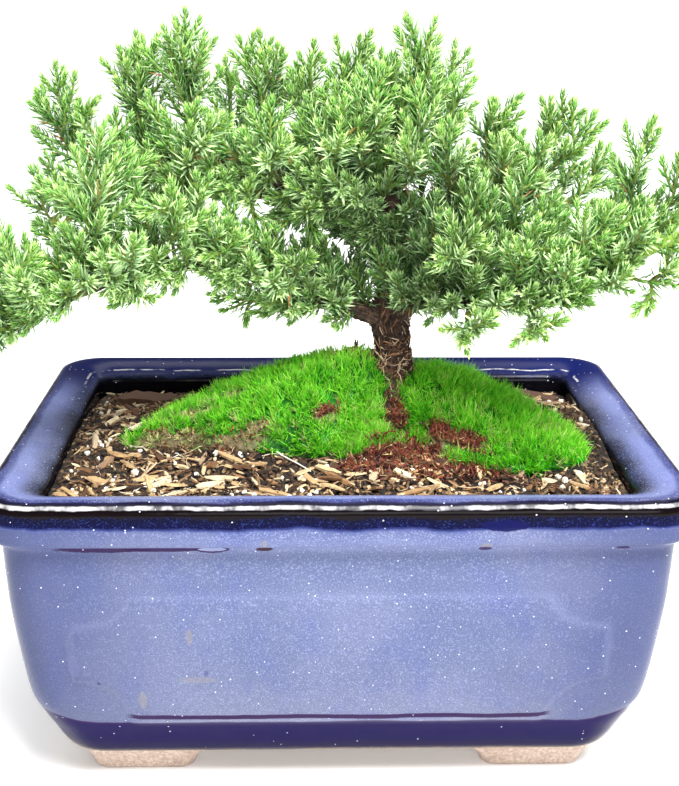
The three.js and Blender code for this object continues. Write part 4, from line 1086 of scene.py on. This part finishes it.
def add_flake(heap, rng):
    """A curling scale of bark on the trunk or near it on a limb."""
    rows = TRUNK[2:] if rng.random() < 0.72 else list(LIMBS.values())[rng.integers(0, len(LIMBS))][:3]
    rows = np.array(rows, float)
    k = rng.integers(0, len(rows) - 1)
    t = rng.random()
    centre = rows[k] * (1 - t) + rows[k + 1] * t
    along = unit(rows[k + 1][:3] - rows[k][:3])
    outward = unit(np.cross(along, rng.normal(size=3)))
    across = np.cross(along, outward)
    length, width = rng.uniform(1.6, 4.2), rng.uniform(0.6, 1.5)
    middle = centre[:3] + outward * (centre[3] * 1.02 + 0.15)
    rings = []
    for u in (-0.5, 0, 0.5):
        spot = middle + along * u * length + outward * (0.9 * u * u + 0.5 * u * rng.uniform(-1, 1)) * 1.6
        half = across * width * (1 - 0.5 * abs(u)) / 2
        rings.append([spot - half + outward * 0.2, spot + half + outward * 0.2,
                      spot + half - outward * 0.2, spot - half - outward * 0.2])
    along_grain = rng.random() + np.repeat([0, 0.02, 0.04], 4)
    heap.loft(rings, grain=(0, along_grain, np.tile([0.1, 0.4, 0.4, 0.1], 3)))


def add_root_hair(heap, rng):
    """A fine dry rootlet wound round the foot of the trunk."""
    z = rng.uniform(101, 123)
    y, radius = (np.interp(z, HAIRY_FOOT[:, 0], HAIRY_FOOT[:, k]) for k in (1, 2))
    angle = rng.uniform(0, TURN)
    rise, spin = rng.normal(0, 0.5), rng.normal(0, 0.16)
    points = []
    for _ in range(7):
        out = radius + rng.uniform(0.0, 1.0)
        points.append((TRUNK_X + out * math.cos(angle), y + out * math.sin(angle), z))
        angle += spin + rng.normal(0, 0.1)
        z += rise + rng.normal(0, 0.5)
    add_fibre(heap, np.array(points), np.linspace(0.16, 0.08, 7), rng.random())


def root_fibres(heap, rng, rows, count):
    """Fibres that run down a root, a little proud of it."""
    path = curve_through(rows, 1.0)
    _, side, up = frames(path[:, :3])
    for _ in range(count):
        start = rng.integers(0, len(path) - 6)
        k = np.arange(start, min(len(path), start + rng.integers(5, 11)))
        turn = (rng.uniform(0, TURN) + np.cumsum(rng.normal(0, 0.12, len(k))))[:, None]
        out = (path[k, 3] * rng.uniform(1.0, 1.25) + 0.15)[:, None]
        points = path[k, :3] + (side[k] * np.cos(turn) + up[k] * np.sin(turn)) * out
        add_fibre(heap, points, np.linspace(0.22, 0.1, len(k)), rng.random())


def tangle(heap, rng, count):
    """Short dry fibres that lie every way on the lower trunk."""
    rows = np.array(TRUNK, float)
    for z in 98 + 38 * rng.random(count) ** 1.3:
        x, y, radius = (np.interp(z, rows[:, 2], rows[:, k]) for k in (0, 1, 3))
        angle = rng.uniform(0, TURN)
        outward = np.array([math.cos(angle), math.sin(angle), 0])
        middle = np.array([x, y, z]) + outward * (radius + rng.uniform(0.1, 1.1))
        heading = rng.normal(size=3)
        heading = unit(heading - outward * (heading @ outward) * 0.8)
        reach = heading * rng.uniform(0.9, 2.6)
        end = middle + reach - outward * rng.uniform(-0.3, 0.5)
        points = np.array([middle - reach - outward * 0.3, middle, end])
        add_fibre(heap, points, np.array([0.1, 0.2, 0.08]) * rng.uniform(0.7, 1.4), rng.random())


def add_scrap(heap, rng):
    """A dry scrap of bark or root on the crest of the moss, left of the trunk."""
    x, y = rng.normal(6.5, 3.0), rng.normal(1.5, 2.5)
    start = np.array([x, y, float(soil_height(x, y)) + 3.0 + rng.uniform(0, 3.2)])
    heading = unit(rng.normal(size=3) * (1, 1, 0.6))
    side = unit(rng.normal(size=3))
    length = rng.uniform(1.5, 4.0)
    t = np.linspace(0, 1, 5)[:, None]
    points = start + heading * length * t + side * 0.5 * np.sin(3 * t)
    add_fibre(heap, points, np.linspace(0.42, 0.12, 5), rng.uniform(0, 0.8), 4)


def make_wood():
    rng = np.random.default_rng(SEED + 7)
    heap = Heap("grain")
    bark_tube(heap, TRUNK, 46, 0.75, 0.26, seed=1)
    for n, root in enumerate(ROOTS):
        bark_tube(heap, root, 24, 0.8, 0.2, seed=2 + n)
    bark_tube(heap, STUB, 20, 0.6, 0.1, seed=6)
    for n, rows in enumerate(LIMBS.values()):
        bark_tube(heap, rows, 14, 1.15, 0.16, (1.15, 1.5), seed=10 + n)
    for limb, sprays in SPRAYS.items():
        for spots in sprays:
            root = np.array(spots[0], float)
            start = limb_nearest(LIMBS[limb], root)
            end = root + unit(root - start) * 0.8
            rows = [(*start, 1.2), (*((start + end) / 2), 1.15), (*end, 1.0)]
            bark_tube(heap, rows, 8, 1.2, 0.1, (1.0, 1.3))
    for _ in range(FLAKES):
        add_flake(heap, rng)
    heap.piece("trunk_and_limbs", [bark_material()], ["trunk_and_branches"], smooth=True)
    hairs = Heap("bit")
    for _ in range(ROOT_HAIRS):
        add_root_hair(hairs, rng)
    for root in ROOTS:
        root_fibres(hairs, rng, root, ROOT_FIBRES)
    root_fibres(hairs, rng, TRUNK[1:6], TRUNK_FIBRES)
    tangle(hairs, rng, TANGLED)
    for _ in range(SCRAPS):
        add_scrap(hairs, rng)
    hairs.piece("root_hairs", [bits_material("root_hair", ROOT_TONES, 0.2)])


# ---------------------------------------------------------------- foliage
WHORL_STEP = 1.5
STEM_STEP, STEM_SIDES, YOUNG_SIDES = 2.0, 4, 10
NEEDLE_LENGTH, NEEDLE_WIDTH, BUD_LENGTH = 6.2, 0.98, 3.4
# Lean from the stem, length and youth of needles, by distance back from the shoot's tip
TIP_DISTANCE = [0, 1.5, 4, 8, 14, 24, 40]
TIP_LEAN = [0.38, 0.6, 0.76, 0.86, 0.94, 1.02, 1.1]
TIP_SIZE = [0.4, 0.62, 0.86, 1.0, 1.02, 1.0, 0.92]
TIP_YOUTH = [1.0, 0.85, 0.6, 0.35, 0.18, 0.06, 0.0]
# Painted shade deep in the crown: its centre, and how it is stretched along X, Y and Z
CROWN_SHADE_CENTRE, CROWN_SHADE_STRETCH = (26, 4, 158), (0.72, 0.7, 1.15)
# Dead brown needles: how far back from a tip they start, their share, and the value that marks them
DEAD_FROM, DEAD_SHARE, DEAD = 9, 0.035, -1.0
# Five corners of a needle: place across it, share of its underside, place along it
NEEDLE_SHAPE = [(0.5, 0, 0), (0, 0, 0.3), (1, 0, 0.3), (0.5, 1, 0.3), (0.5, 0, 1)]
NEEDLE_FACES = [(0, 2, 1), (1, 2, 4), (0, 3, 2), (0, 1, 3), (4, 2, 3), (1, 4, 3)]
OLD_NEEDLES = [(0.0, (16, 60, 24)), (0.3, (50, 116, 42)), (0.65, (110, 180, 70)), (1.0, (166, 218, 116))]
NEW_NEEDLES = [(0.0, (90, 160, 46)), (0.6, (130, 192, 72)), (1.0, (176, 216, 106))]
# The side shoots of a spray's stem and of the shoots between sprays: their spacing and longest reach
SPRAY_SIDES, INNER_SIDES, YOUNG_STEM_SIDES = (4.0, 17), (5.2, 12), (3.2, 10)
SIDE_SHOOT = {"vigour": 0.92, "bare": 0.5, "stem": (0.5, 0.32)}
# Shoots that clothe each limb between its sprays: the share of the limb from its tip, their spacing and reach
FILL = {
    "upper_left": (1.0, 1.9, 12, 26), "left_front": (0.9, 3.2, 10, 18), "crown": (1.0, 2.4, 10, 20),
    "upper_right": (1.0, 2.0, 12, 22), "low_left": (0.93, 2.1, 12, 28), "low_side": (0.9, 1.8, 10, 18),
    "low_right": (0.9, 2.0, 12, 24), "rear_left": (0.9, 4.4, 12, 24), "rear_right": (0.9, 4.4, 12, 24),
    "trunk": (0.24, 1.3, 9, 16),
}
# Fuller places of each limb: between two shares of it from its tip, how many shoots, their lean, their reach
FULLER = {
    "upper_left": [
        (0.3, 0.98, 26, (-0.35, -0.8, -0.4), 12, 26), (0.82, 0.97, 9, (-0.5, -1.0, -0.3), 10, 18),
        (0.4, 0.85, 11, (-0.2, -0.7, -0.75), 14, 24), (0.86, 1.0, 8, (-0.6, -0.8, -0.6), 12, 20),
        (0.75, 1.0, 10, (0.1, 0.0, 1.3), 26, 36), (0.72, 0.96, 10, (0.0, -0.2, -1.5), 24, 36),
    ],
    "low_left": [
        (0.45, 0.95, 18, (-0.4, -0.2, 1.0), 16, 30), (0.08, 0.75, 16, (-0.3, -0.9, -0.25), 9, 16),
        (0.0, 0.4, 10, (-0.3, -0.5, 0.8), 12, 22), (0.3, 0.62, 10, (0.0, -0.5, -1.3), 12, 18),
        (0.0, 0.2, 6, (-0.6, -0.3, -1.2), 18, 28), (0.45, 0.95, 14, (0.0, -0.9, -0.5), 10, 17),
        (0.0, 0.5, 10, (-0.4, 0.3, 1.0), 14, 26), (0.8, 0.95, 5, (0.3, 0.1, 1.2), 14, 22),
    ],
    "trunk": [
        (0.0, 0.3, 16, (0.0, -1.0, 0.1), 10, 17), (0.0, 0.34, 10, (-0.9, -0.6, 0.1), 10, 17),
        (0.0, 0.34, 10, (0.9, -0.6, 0.1), 10, 17),
    ],
    "low_right": [
        (0.3, 0.97, 16, (0.1, -0.5, 0.9), 14, 24), (0.2, 0.8, 10, (0.1, -0.7, -0.6), 7, 11),
        (0.0, 0.5, 10, (0.3, -0.3, 0.8), 12, 22), (0.0, 0.55, 12, (0.1, -0.9, 0.0), 10, 16),
        (0.1, 0.85, 16, (0.1, 0.4, 1.0), 20, 32), (0.55, 0.98, 12, (0.1, -0.9, 0.0), 9, 15),
        (0.3, 0.8, 14, (0.0, 0.3, 1.2), 30, 42),
    ],
    "upper_right": [
        (0.2, 1.0, 14, (0.2, -0.9, -0.1), 12, 22), (0.0, 0.7, 11, (0.1, -0.6, -0.8), 12, 22),
        (0.1, 0.7, 8, (0.0, 0.2, -1.0), 12, 18),
    ],
    "crown": [
        (0.1, 1.0, 8, (0.0, -0.8, 0.5), 12, 22), (0.0, 0.7, 8, (-0.7, 0.2, 0.8), 16, 24),
        (0.0, 0.5, 14, (0.1, -0.2, 1.3), 26, 37), (0.0, 0.5, 8, (0.9, -0.2, 1.2), 24, 36),
    ],
    "rear_left": [(0.72, 1.0, 12, (-0.5, -0.9, 0.1), 12, 20)],
    "rear_right": [(0.72, 1.0, 6, (0.4, -0.9, 0.1), 10, 16)],
    "low_side": [(0.0, 0.9, 14, (-0.8, -0.6, 0.1), 12, 22)],
}
# Thick yellow-green ends of the limbs that leave the picture: X, Y, Z, radius
YOUNG_STEMS = {
    "low_right": [[(82, -43, 160, 1.3), (89, -52, 167, 1.7), (97, -57, 171, 1.5), (104, -59, 172, 0.5)]],
    "low_left": [
        [(-88, -46, 144.5, 1.3), (-100, -47, 148, 1.7), (-108, -49, 152, 0.6)],
        [(-95, -47, 141.5, 1.2), (-104, -48, 136, 1.6), (-109, -49, 131, 0.6)],
    ],
}


def needle_material():
    net = Net("juniper_needle")
    across, under, along = net.channels("needle")
    young, pick, deep = net.channels("shoot")
    net.colour = net.mix(young, net.ramp(pick, OLD_NEEDLES), net.ramp(pick, NEW_NEEDLES))
    # needles far back from a shoot's tip are darker: partly their age, partly painted shade inside the spray
    net.coat((14, 56, 24), net.step(young, 0.02, 0.3, 0.5, 0.0))
    # a pale band down the middle of the inner face
    bloom = net.mix(young, (208, 244, 186), (218, 246, 156))
    net.coat(bloom, net.step(net.away(across, 0.5), 0.39, 0.26, 0.0, 0.95),
             net.step(under, 0.02, 0.12, 1.0, 0.0), net.step(along, 0.02, 0.3, 0.35, 1.0))
    # painted shade: darker deep in the crown, on each needle's underside and at its foot
    net.coat((8, 66, 24), deep, 0.6)
    net.coat((4, 52, 18), under, 0.72)
    net.coat((2, 38, 10), net.step(along, 0.0, 0.62, 0.86, 0.0))
    net.coat((200, 226, 200), net.step(net.noise(900.0), 0.5, 0.75, 0.0, 0.18))
    net.coat((196, 206, 120), net.step(along, 0.88, 1.0, 0.0, 0.2))
    net.coat(net.mix(pick, (112, 66, 34), (214, 160, 104)), net.math("LESS_THAN", young, DEAD / 2))
    return net.finish(0.42, Specular_IOR_Level=0.3)


def stem_material():
    net = Net("juniper_stem")
    young, _, deep = net.channels("shoot")
    grain = net.noise(800.0, 3.0)
    old = net.mix(grain, (54, 72, 28), (122, 128, 62))
    net.colour = net.mix(young, old, net.mix(grain, (104, 142, 46), (160, 190, 82)))
    # painted shade deep in the crown
    net.coat((40, 38, 22), deep, 0.6)
    net.bump(grain, 0.0004, 0.6)
    return net.finish(0.6)


def shoot_path(start, tip, leave):
    """The stem of a shoot, which bends upwards a little and stops short of the bud's tip."""
    start, tip = np.asarray(start, float), np.asarray(tip, float)
    length = max(np.linalg.norm(tip - start) - BUD_LENGTH, 2.0)
    end = start + (tip - start) * length / (length + BUD_LENGTH)
    bend = start + unit(leave) * length * 0.45
    count = max(4, round(np.linalg.norm(end - start) / STEM_STEP))
    t = np.linspace(0, 1, count + 1)[:, None]
    return start * (1 - t) ** 2 + 2 * bend * t * (1 - t) + end * t * t


def along_path(path, gaps):
    """Points and directions at distances measured back from the path's end."""
    travelled = np.concatenate([[0], np.cumsum(np.linalg.norm(np.diff(path, axis=0), axis=1))])

    def pick(rows):
        return np.column_stack([np.interp(travelled[-1] - gaps, travelled, row) for row in rows.T])

    return (pick(path), *(unit(pick(rows)) for rows in frames(path)))


def place_on(path, gap):
    """One point and its directions, at a distance back from the path's end."""
    return (rows[0] for rows in along_path(path, np.array([gap])))


def path_length(path):
    return float(np.linalg.norm(np.diff(path, axis=0), axis=1).sum())


def crown_shade_of(points):
    """How deep in the crown a place lies: needles and stems there get painted shade."""
    return smoothstep(46, 12, np.linalg.norm((points - np.array(CROWN_SHADE_CENTRE)) * CROWN_SHADE_STRETCH, axis=1))


def add_needles(heap, rng, base, reach, facing, sizes, youths):
    count, per = len(base), len(NEEDLE_SHAPE)
    across = np.cross(reach, facing)
    widths = NEEDLE_WIDTH * rng.uniform(0.88, 1.12, count) * (0.75 + 0.25 * sizes / NEEDLE_LENGTH)
    curl = rng.uniform(0.05, 0.2, count)
    middle = base + reach * (sizes * 0.26)[:, None]
    half = (widths / 2)[:, None]
    tips = base + reach * sizes[:, None] + facing * (curl * sizes)[:, None]
    keel = middle - facing * half * 0.75
    points = np.stack([base, middle - across * half, middle + across * half, keel, tips], 1)
    faces = [[k * per + i for i in face] for k in range(count) for face in NEEDLE_FACES]
    picks = rng.random() * 0.55 + rng.random(count) * 0.45
    heap.add(points, faces, needle=np.tile(NEEDLE_SHAPE, (count, 1)).T,
             shoot=[np.repeat(values, per) for values in (youths, picks, crown_shade_of(base))])


def clothe(heap, rng, path, vigour=1.0, bare=1.2, youth=1.0, thin=0.0, stem=(0.6, 0.36)):
    """Needles in whorls of three along a stem, closed into a bud at its tip, and the stem itself."""
    length = path_length(path)
    gaps = [-0.7, -0.1, 0.7, 1.6]
    while gaps[-1] + WHORL_STEP < length - bare:
        gaps.append(gaps[-1] + WHORL_STEP * rng.uniform(0.85, 1.12))
    gaps = np.array(gaps)
    spots, along, side, up = along_path(path, np.maximum(gaps, 0))
    spots = spots - along * np.minimum(gaps, 0)[:, None]
    start = rng.uniform(0, TURN)
    needles = []
    for k, gap in enumerate(gaps):
        lean, size, fresh = (np.interp(gap, TIP_DISTANCE, row) for row in (TIP_LEAN, TIP_SIZE, TIP_YOUTH))
        for i in range(3):
            if rng.random() < thin * smoothstep(6, 26, gap):
                continue
            angle = start + k * math.pi / 3 + i * TURN / 3 + rng.normal(0, 0.09)
            out = side[k] * math.cos(angle) + up[k] * math.sin(angle)
            tilt = lean * rng.normal(1, 0.09)
            radius = np.interp(gap, [0, length], stem[::-1]) * 0.6
            long = NEEDLE_LENGTH * size * vigour * rng.uniform(0.86, 1.12)
            reach = out * math.sin(tilt) + along[k] * math.cos(tilt)
            facing = along[k] * math.sin(tilt) - out * math.cos(tilt)
            dead = gap > DEAD_FROM and rng.random() < DEAD_SHARE
            needles.append((spots[k] + out * radius, reach, facing, long, DEAD if dead else fresh * youth))
    if needles:
        add_needles(heap, rng, *(np.array(values) for values in zip(*needles)))
    fresh = np.interp(length - np.linspace(0, length, len(path)), TIP_DISTANCE, TIP_YOUTH)
    heap.loft(tube(path, np.linspace(*stem, len(path)), STEM_SIDES), index=1,
              shoot=(np.repeat(fresh, STEM_SIDES), rng.random(), np.repeat(crown_shade_of(path), STEM_SIDES)))


def side_shoots(rng, path, every, longest):
    """Short shoots that leave a stem on all sides and turn along with it."""
    length = path_length(path)
    count = int(length / every)
    made = []
    angle = rng.uniform(0, TURN)
    for k in range(count):
        share = 0.16 + 0.7 * (k + rng.uniform(0.2, 0.8)) / count
        spot, along, side, up = place_on(path, length * (1 - share))
        angle += 2.4 + rng.normal(0, 0.35)
        out = side * math.cos(angle) + up * math.sin(angle)
        reach = min(longest, (1 - share) * length * 0.8 + 4.5) * rng.uniform(0.75, 1.1)
        leave = unit(along * 0.7 + out)
        tip = spot + leave * reach * 0.55 + unit(along + out * 0.35 + (0, 0, 0.15)) * reach * 0.5
        made.append(shoot_path(spot, tip, leave))
    return made


def clothe_all(heap, rng, path, sides, **kind):
    """A shoot with its own short side shoots."""
    clothe(heap, rng, path, **kind)
    for side in side_shoots(rng, path, *sides):
        clothe(heap, rng, side, **{**kind, **SIDE_SHOOT})


def spray_stems(spots, leave):
    root, *tips = [np.array(spot, float) for spot in spots]
    main = shoot_path(root, tips[0], leave)
    stems = [main]
    for n, tip in enumerate(tips[1:]):
        start = main[min(len(main) - 5, 3 + 3 * n)]
        stems.append(shoot_path(start, tip, unit(tip - start) + unit(main[3] - main[0])))
    return stems


def shoot_from(points, gap, lean, reach):
    spot, along, _, _ = place_on(points, gap)
    leave = unit(unit(lean) + along * 0.4)
    tip = spot + leave * reach * 0.6 + unit(along * 0.45 + unit(lean) * 0.6 + (0, 0, 0.7)) * reach * 0.5
    return shoot_path(spot, tip, leave)


def limb_shoots(rng, limb):
    """Shoots all along a limb, then those of its fuller places."""
    share, every, shortest, longest = FILL[limb]
    points = curve_through(LIMBS.get(limb, TRUNK), 1.5)[:, :3]
    length = path_length(points)
    made = []
    angle = rng.uniform(0, TURN)
    for gap in np.arange(2, length * share, every):
        _, _, side, up = place_on(points, gap)
        angle += 2.4 + rng.normal(0, 0.5)
        out = side * math.cos(angle) + up * math.sin(angle)
        if out[2] < -0.35:
            out = out * (1, 1, -0.6)
        made.append(shoot_from(points, gap, out, rng.uniform(shortest, longest)))
    for near, far, count, lean, shortest, longest in FULLER.get(limb, []):
        for share in rng.uniform(near, far, count):
            turned = unit(unit(lean) + rng.normal(0, 0.35, 3))
            made.append(shoot_from(points, length * share, turned, rng.uniform(shortest, longest)))
    return made


def make_foliage():
    needle, stem = needle_material(), stem_material()
    for n, (limb, sprays) in enumerate(SPRAYS.items()):
        rng = np.random.default_rng(SEED + 100 + n)
        heap = Heap("needle", "shoot")
        for spots in sprays:
            root = np.array(spots[0], float)
            for path in spray_stems(spots, unit(root - limb_nearest(LIMBS[limb], root))):
                clothe_all(heap, rng, path, SPRAY_SIDES)
        inner = limb_shoots(rng, limb) + (limb_shoots(rng, "trunk") if limb == "crown" else [])
        for path in inner:
            clothe_all(heap, rng, path, INNER_SIDES, youth=0.75, thin=0.12)
        for rows in YOUNG_STEMS.get(limb, []):
            path = curve_through(rows, STEM_STEP)
            heap.loft(tube(path[:, :3], path[:, 3], YOUNG_SIDES), index=1, shoot=(1, 0.5, 0))
            for side in side_shoots(rng, path[:, :3], *YOUNG_STEM_SIDES):
                clothe(heap, rng, side, **SIDE_SHOOT)
        names = [f"{limb}_spray_{k + 1}" for k in range(len(sprays))]
        heap.piece(f"{limb}_foliage", [needle, stem], names)


# ---------------------------------------------------------------- stage, light and camera
CAMERA_PLACE = (-9.3, -403.6, 234.8)
CAMERA_PITCH, CAMERA_YAW, CAMERA_ROLL = 17.52, -1.46, 0.34
FOCAL_PIXELS, LONG_SIDE_PIXELS, SENSOR = 1300, 786, 36
# In metres
FLOOR_HALF = 60
SWEEP_NEAR, SWEEP_FAR = 0.15, 1.0
# Soft lamps: place and target in metres, size, power in watts
LAMPS = {
    "top": ((0, 0.1, 1.5), (0, 0, 0.1), (1.6, 1.2), 20),
    "key": ((0.3, -0.6, 1.05), (0, 0, 0.16), (0.5, 0.4), 29),
    "fill": ((0.2, -1.2, 0.42), (0, 0, 0.14), (0.7, 0.3), 5),
    "back": ((0.2, 0.9, 1.1), (0, 0, 0.12), (1.2, 0.3), 5),
}
SKY_STRENGTH = 0.28


def make_camera():
    data = bpy.data.cameras.new("camera")
    data.sensor_width = SENSOR
    data.lens = SENSOR * FOCAL_PIXELS / LONG_SIDE_PIXELS
    data.clip_start, data.clip_end = 0.01, 200
    pitch, yaw, roll = (math.radians(a) for a in (CAMERA_PITCH, CAMERA_YAW, CAMERA_ROLL))
    right = Vector((math.cos(yaw), math.sin(yaw), 0))
    ahead = Vector((-math.sin(yaw) * math.cos(pitch), math.cos(yaw) * math.cos(pitch), -math.sin(pitch)))
    up = right.cross(ahead)
    x_axis = right * math.cos(roll) + up * math.sin(roll)
    y_axis = up * math.cos(roll) - right * math.sin(roll)
    camera = linked("camera", data)
    turn = Matrix((x_axis, y_axis, -ahead)).transposed().to_4x4()
    camera.matrix_world = Matrix.Translation(Vector(np.array(CAMERA_PLACE) * MM + SHIFT)) @ turn
    bpy.context.scene.camera = camera


def make_floor():
    """A pale sweep that brightens away from the object."""
    net = Net("pale_floor")
    away = net.node("ShaderNodeVectorMath", Vector=net.place)
    away.operation = "LENGTH"
    glow = net.step(away.outputs["Value"], SWEEP_NEAR, SWEEP_FAR, 0.2, 0.95)
    net.feed(net.shader.inputs["Emission Strength"], glow)
    net.shader.inputs["Emission Color"].default_value = (1, 1, 1, 1)
    net.colour = (243.45, 243.45, 243.45)
    mesh = bpy.data.meshes.new("floor")
    corners = [(x * FLOOR_HALF, y * FLOOR_HALF, 0) for x, y in [(-1, -1), (1, -1), (1, 1), (-1, 1)]]
    mesh.from_pydata(corners, [], [(0, 1, 2, 3)])
    mesh.materials.append(net.finish(0.9, Specular_IOR_Level=0.0))
    linked("floor", mesh)


def make_light():
    world = bpy.data.worlds.new("studio")
    world.use_nodes = True
    sky = world.node_tree.nodes["Background"]
    sky.inputs["Color"].default_value = (1, 1, 1, 1)
    sky.inputs["Strength"].default_value = SKY_STRENGTH
    bpy.context.scene.world = world
    for name, (place, target, size, power) in LAMPS.items():
        data = bpy.data.lights.new(name, "AREA")
        data.shape = "RECTANGLE"
        data.size, data.size_y = size
        data.energy = power
        lamp = linked(name, data)
        lamp.location = place
        lamp.rotation_euler = (Vector(target) - Vector(place)).to_track_quat("-Z", "Y").to_euler()
    bpy.context.scene.view_settings.view_transform = "Standard"
    bpy.context.scene.view_settings.look = "None"


make_camera()
make_floor()
make_light()
make_pot()
make_soil()
soil_rng = np.random.default_rng(SEED + 1)
make_chips(soil_rng)
make_crumbs(soil_rng)
make_perlite(soil_rng)
make_threads(soil_rng)
make_green_moss("green_moss_left", MOSS_LEFT, "moss_left", SEED + 3, 0.56)
# the right cushion's tones are 1.3 times brighter: painted light against the shade of the crown over it
make_green_moss("green_moss_right", MOSS_RIGHT[:-1] + [(77, -26, 2.5)], "moss_right", SEED + 4, 0.64, 1.3)
make_moss_tufts()
make_dry_moss()
make_wood()
make_foliage()
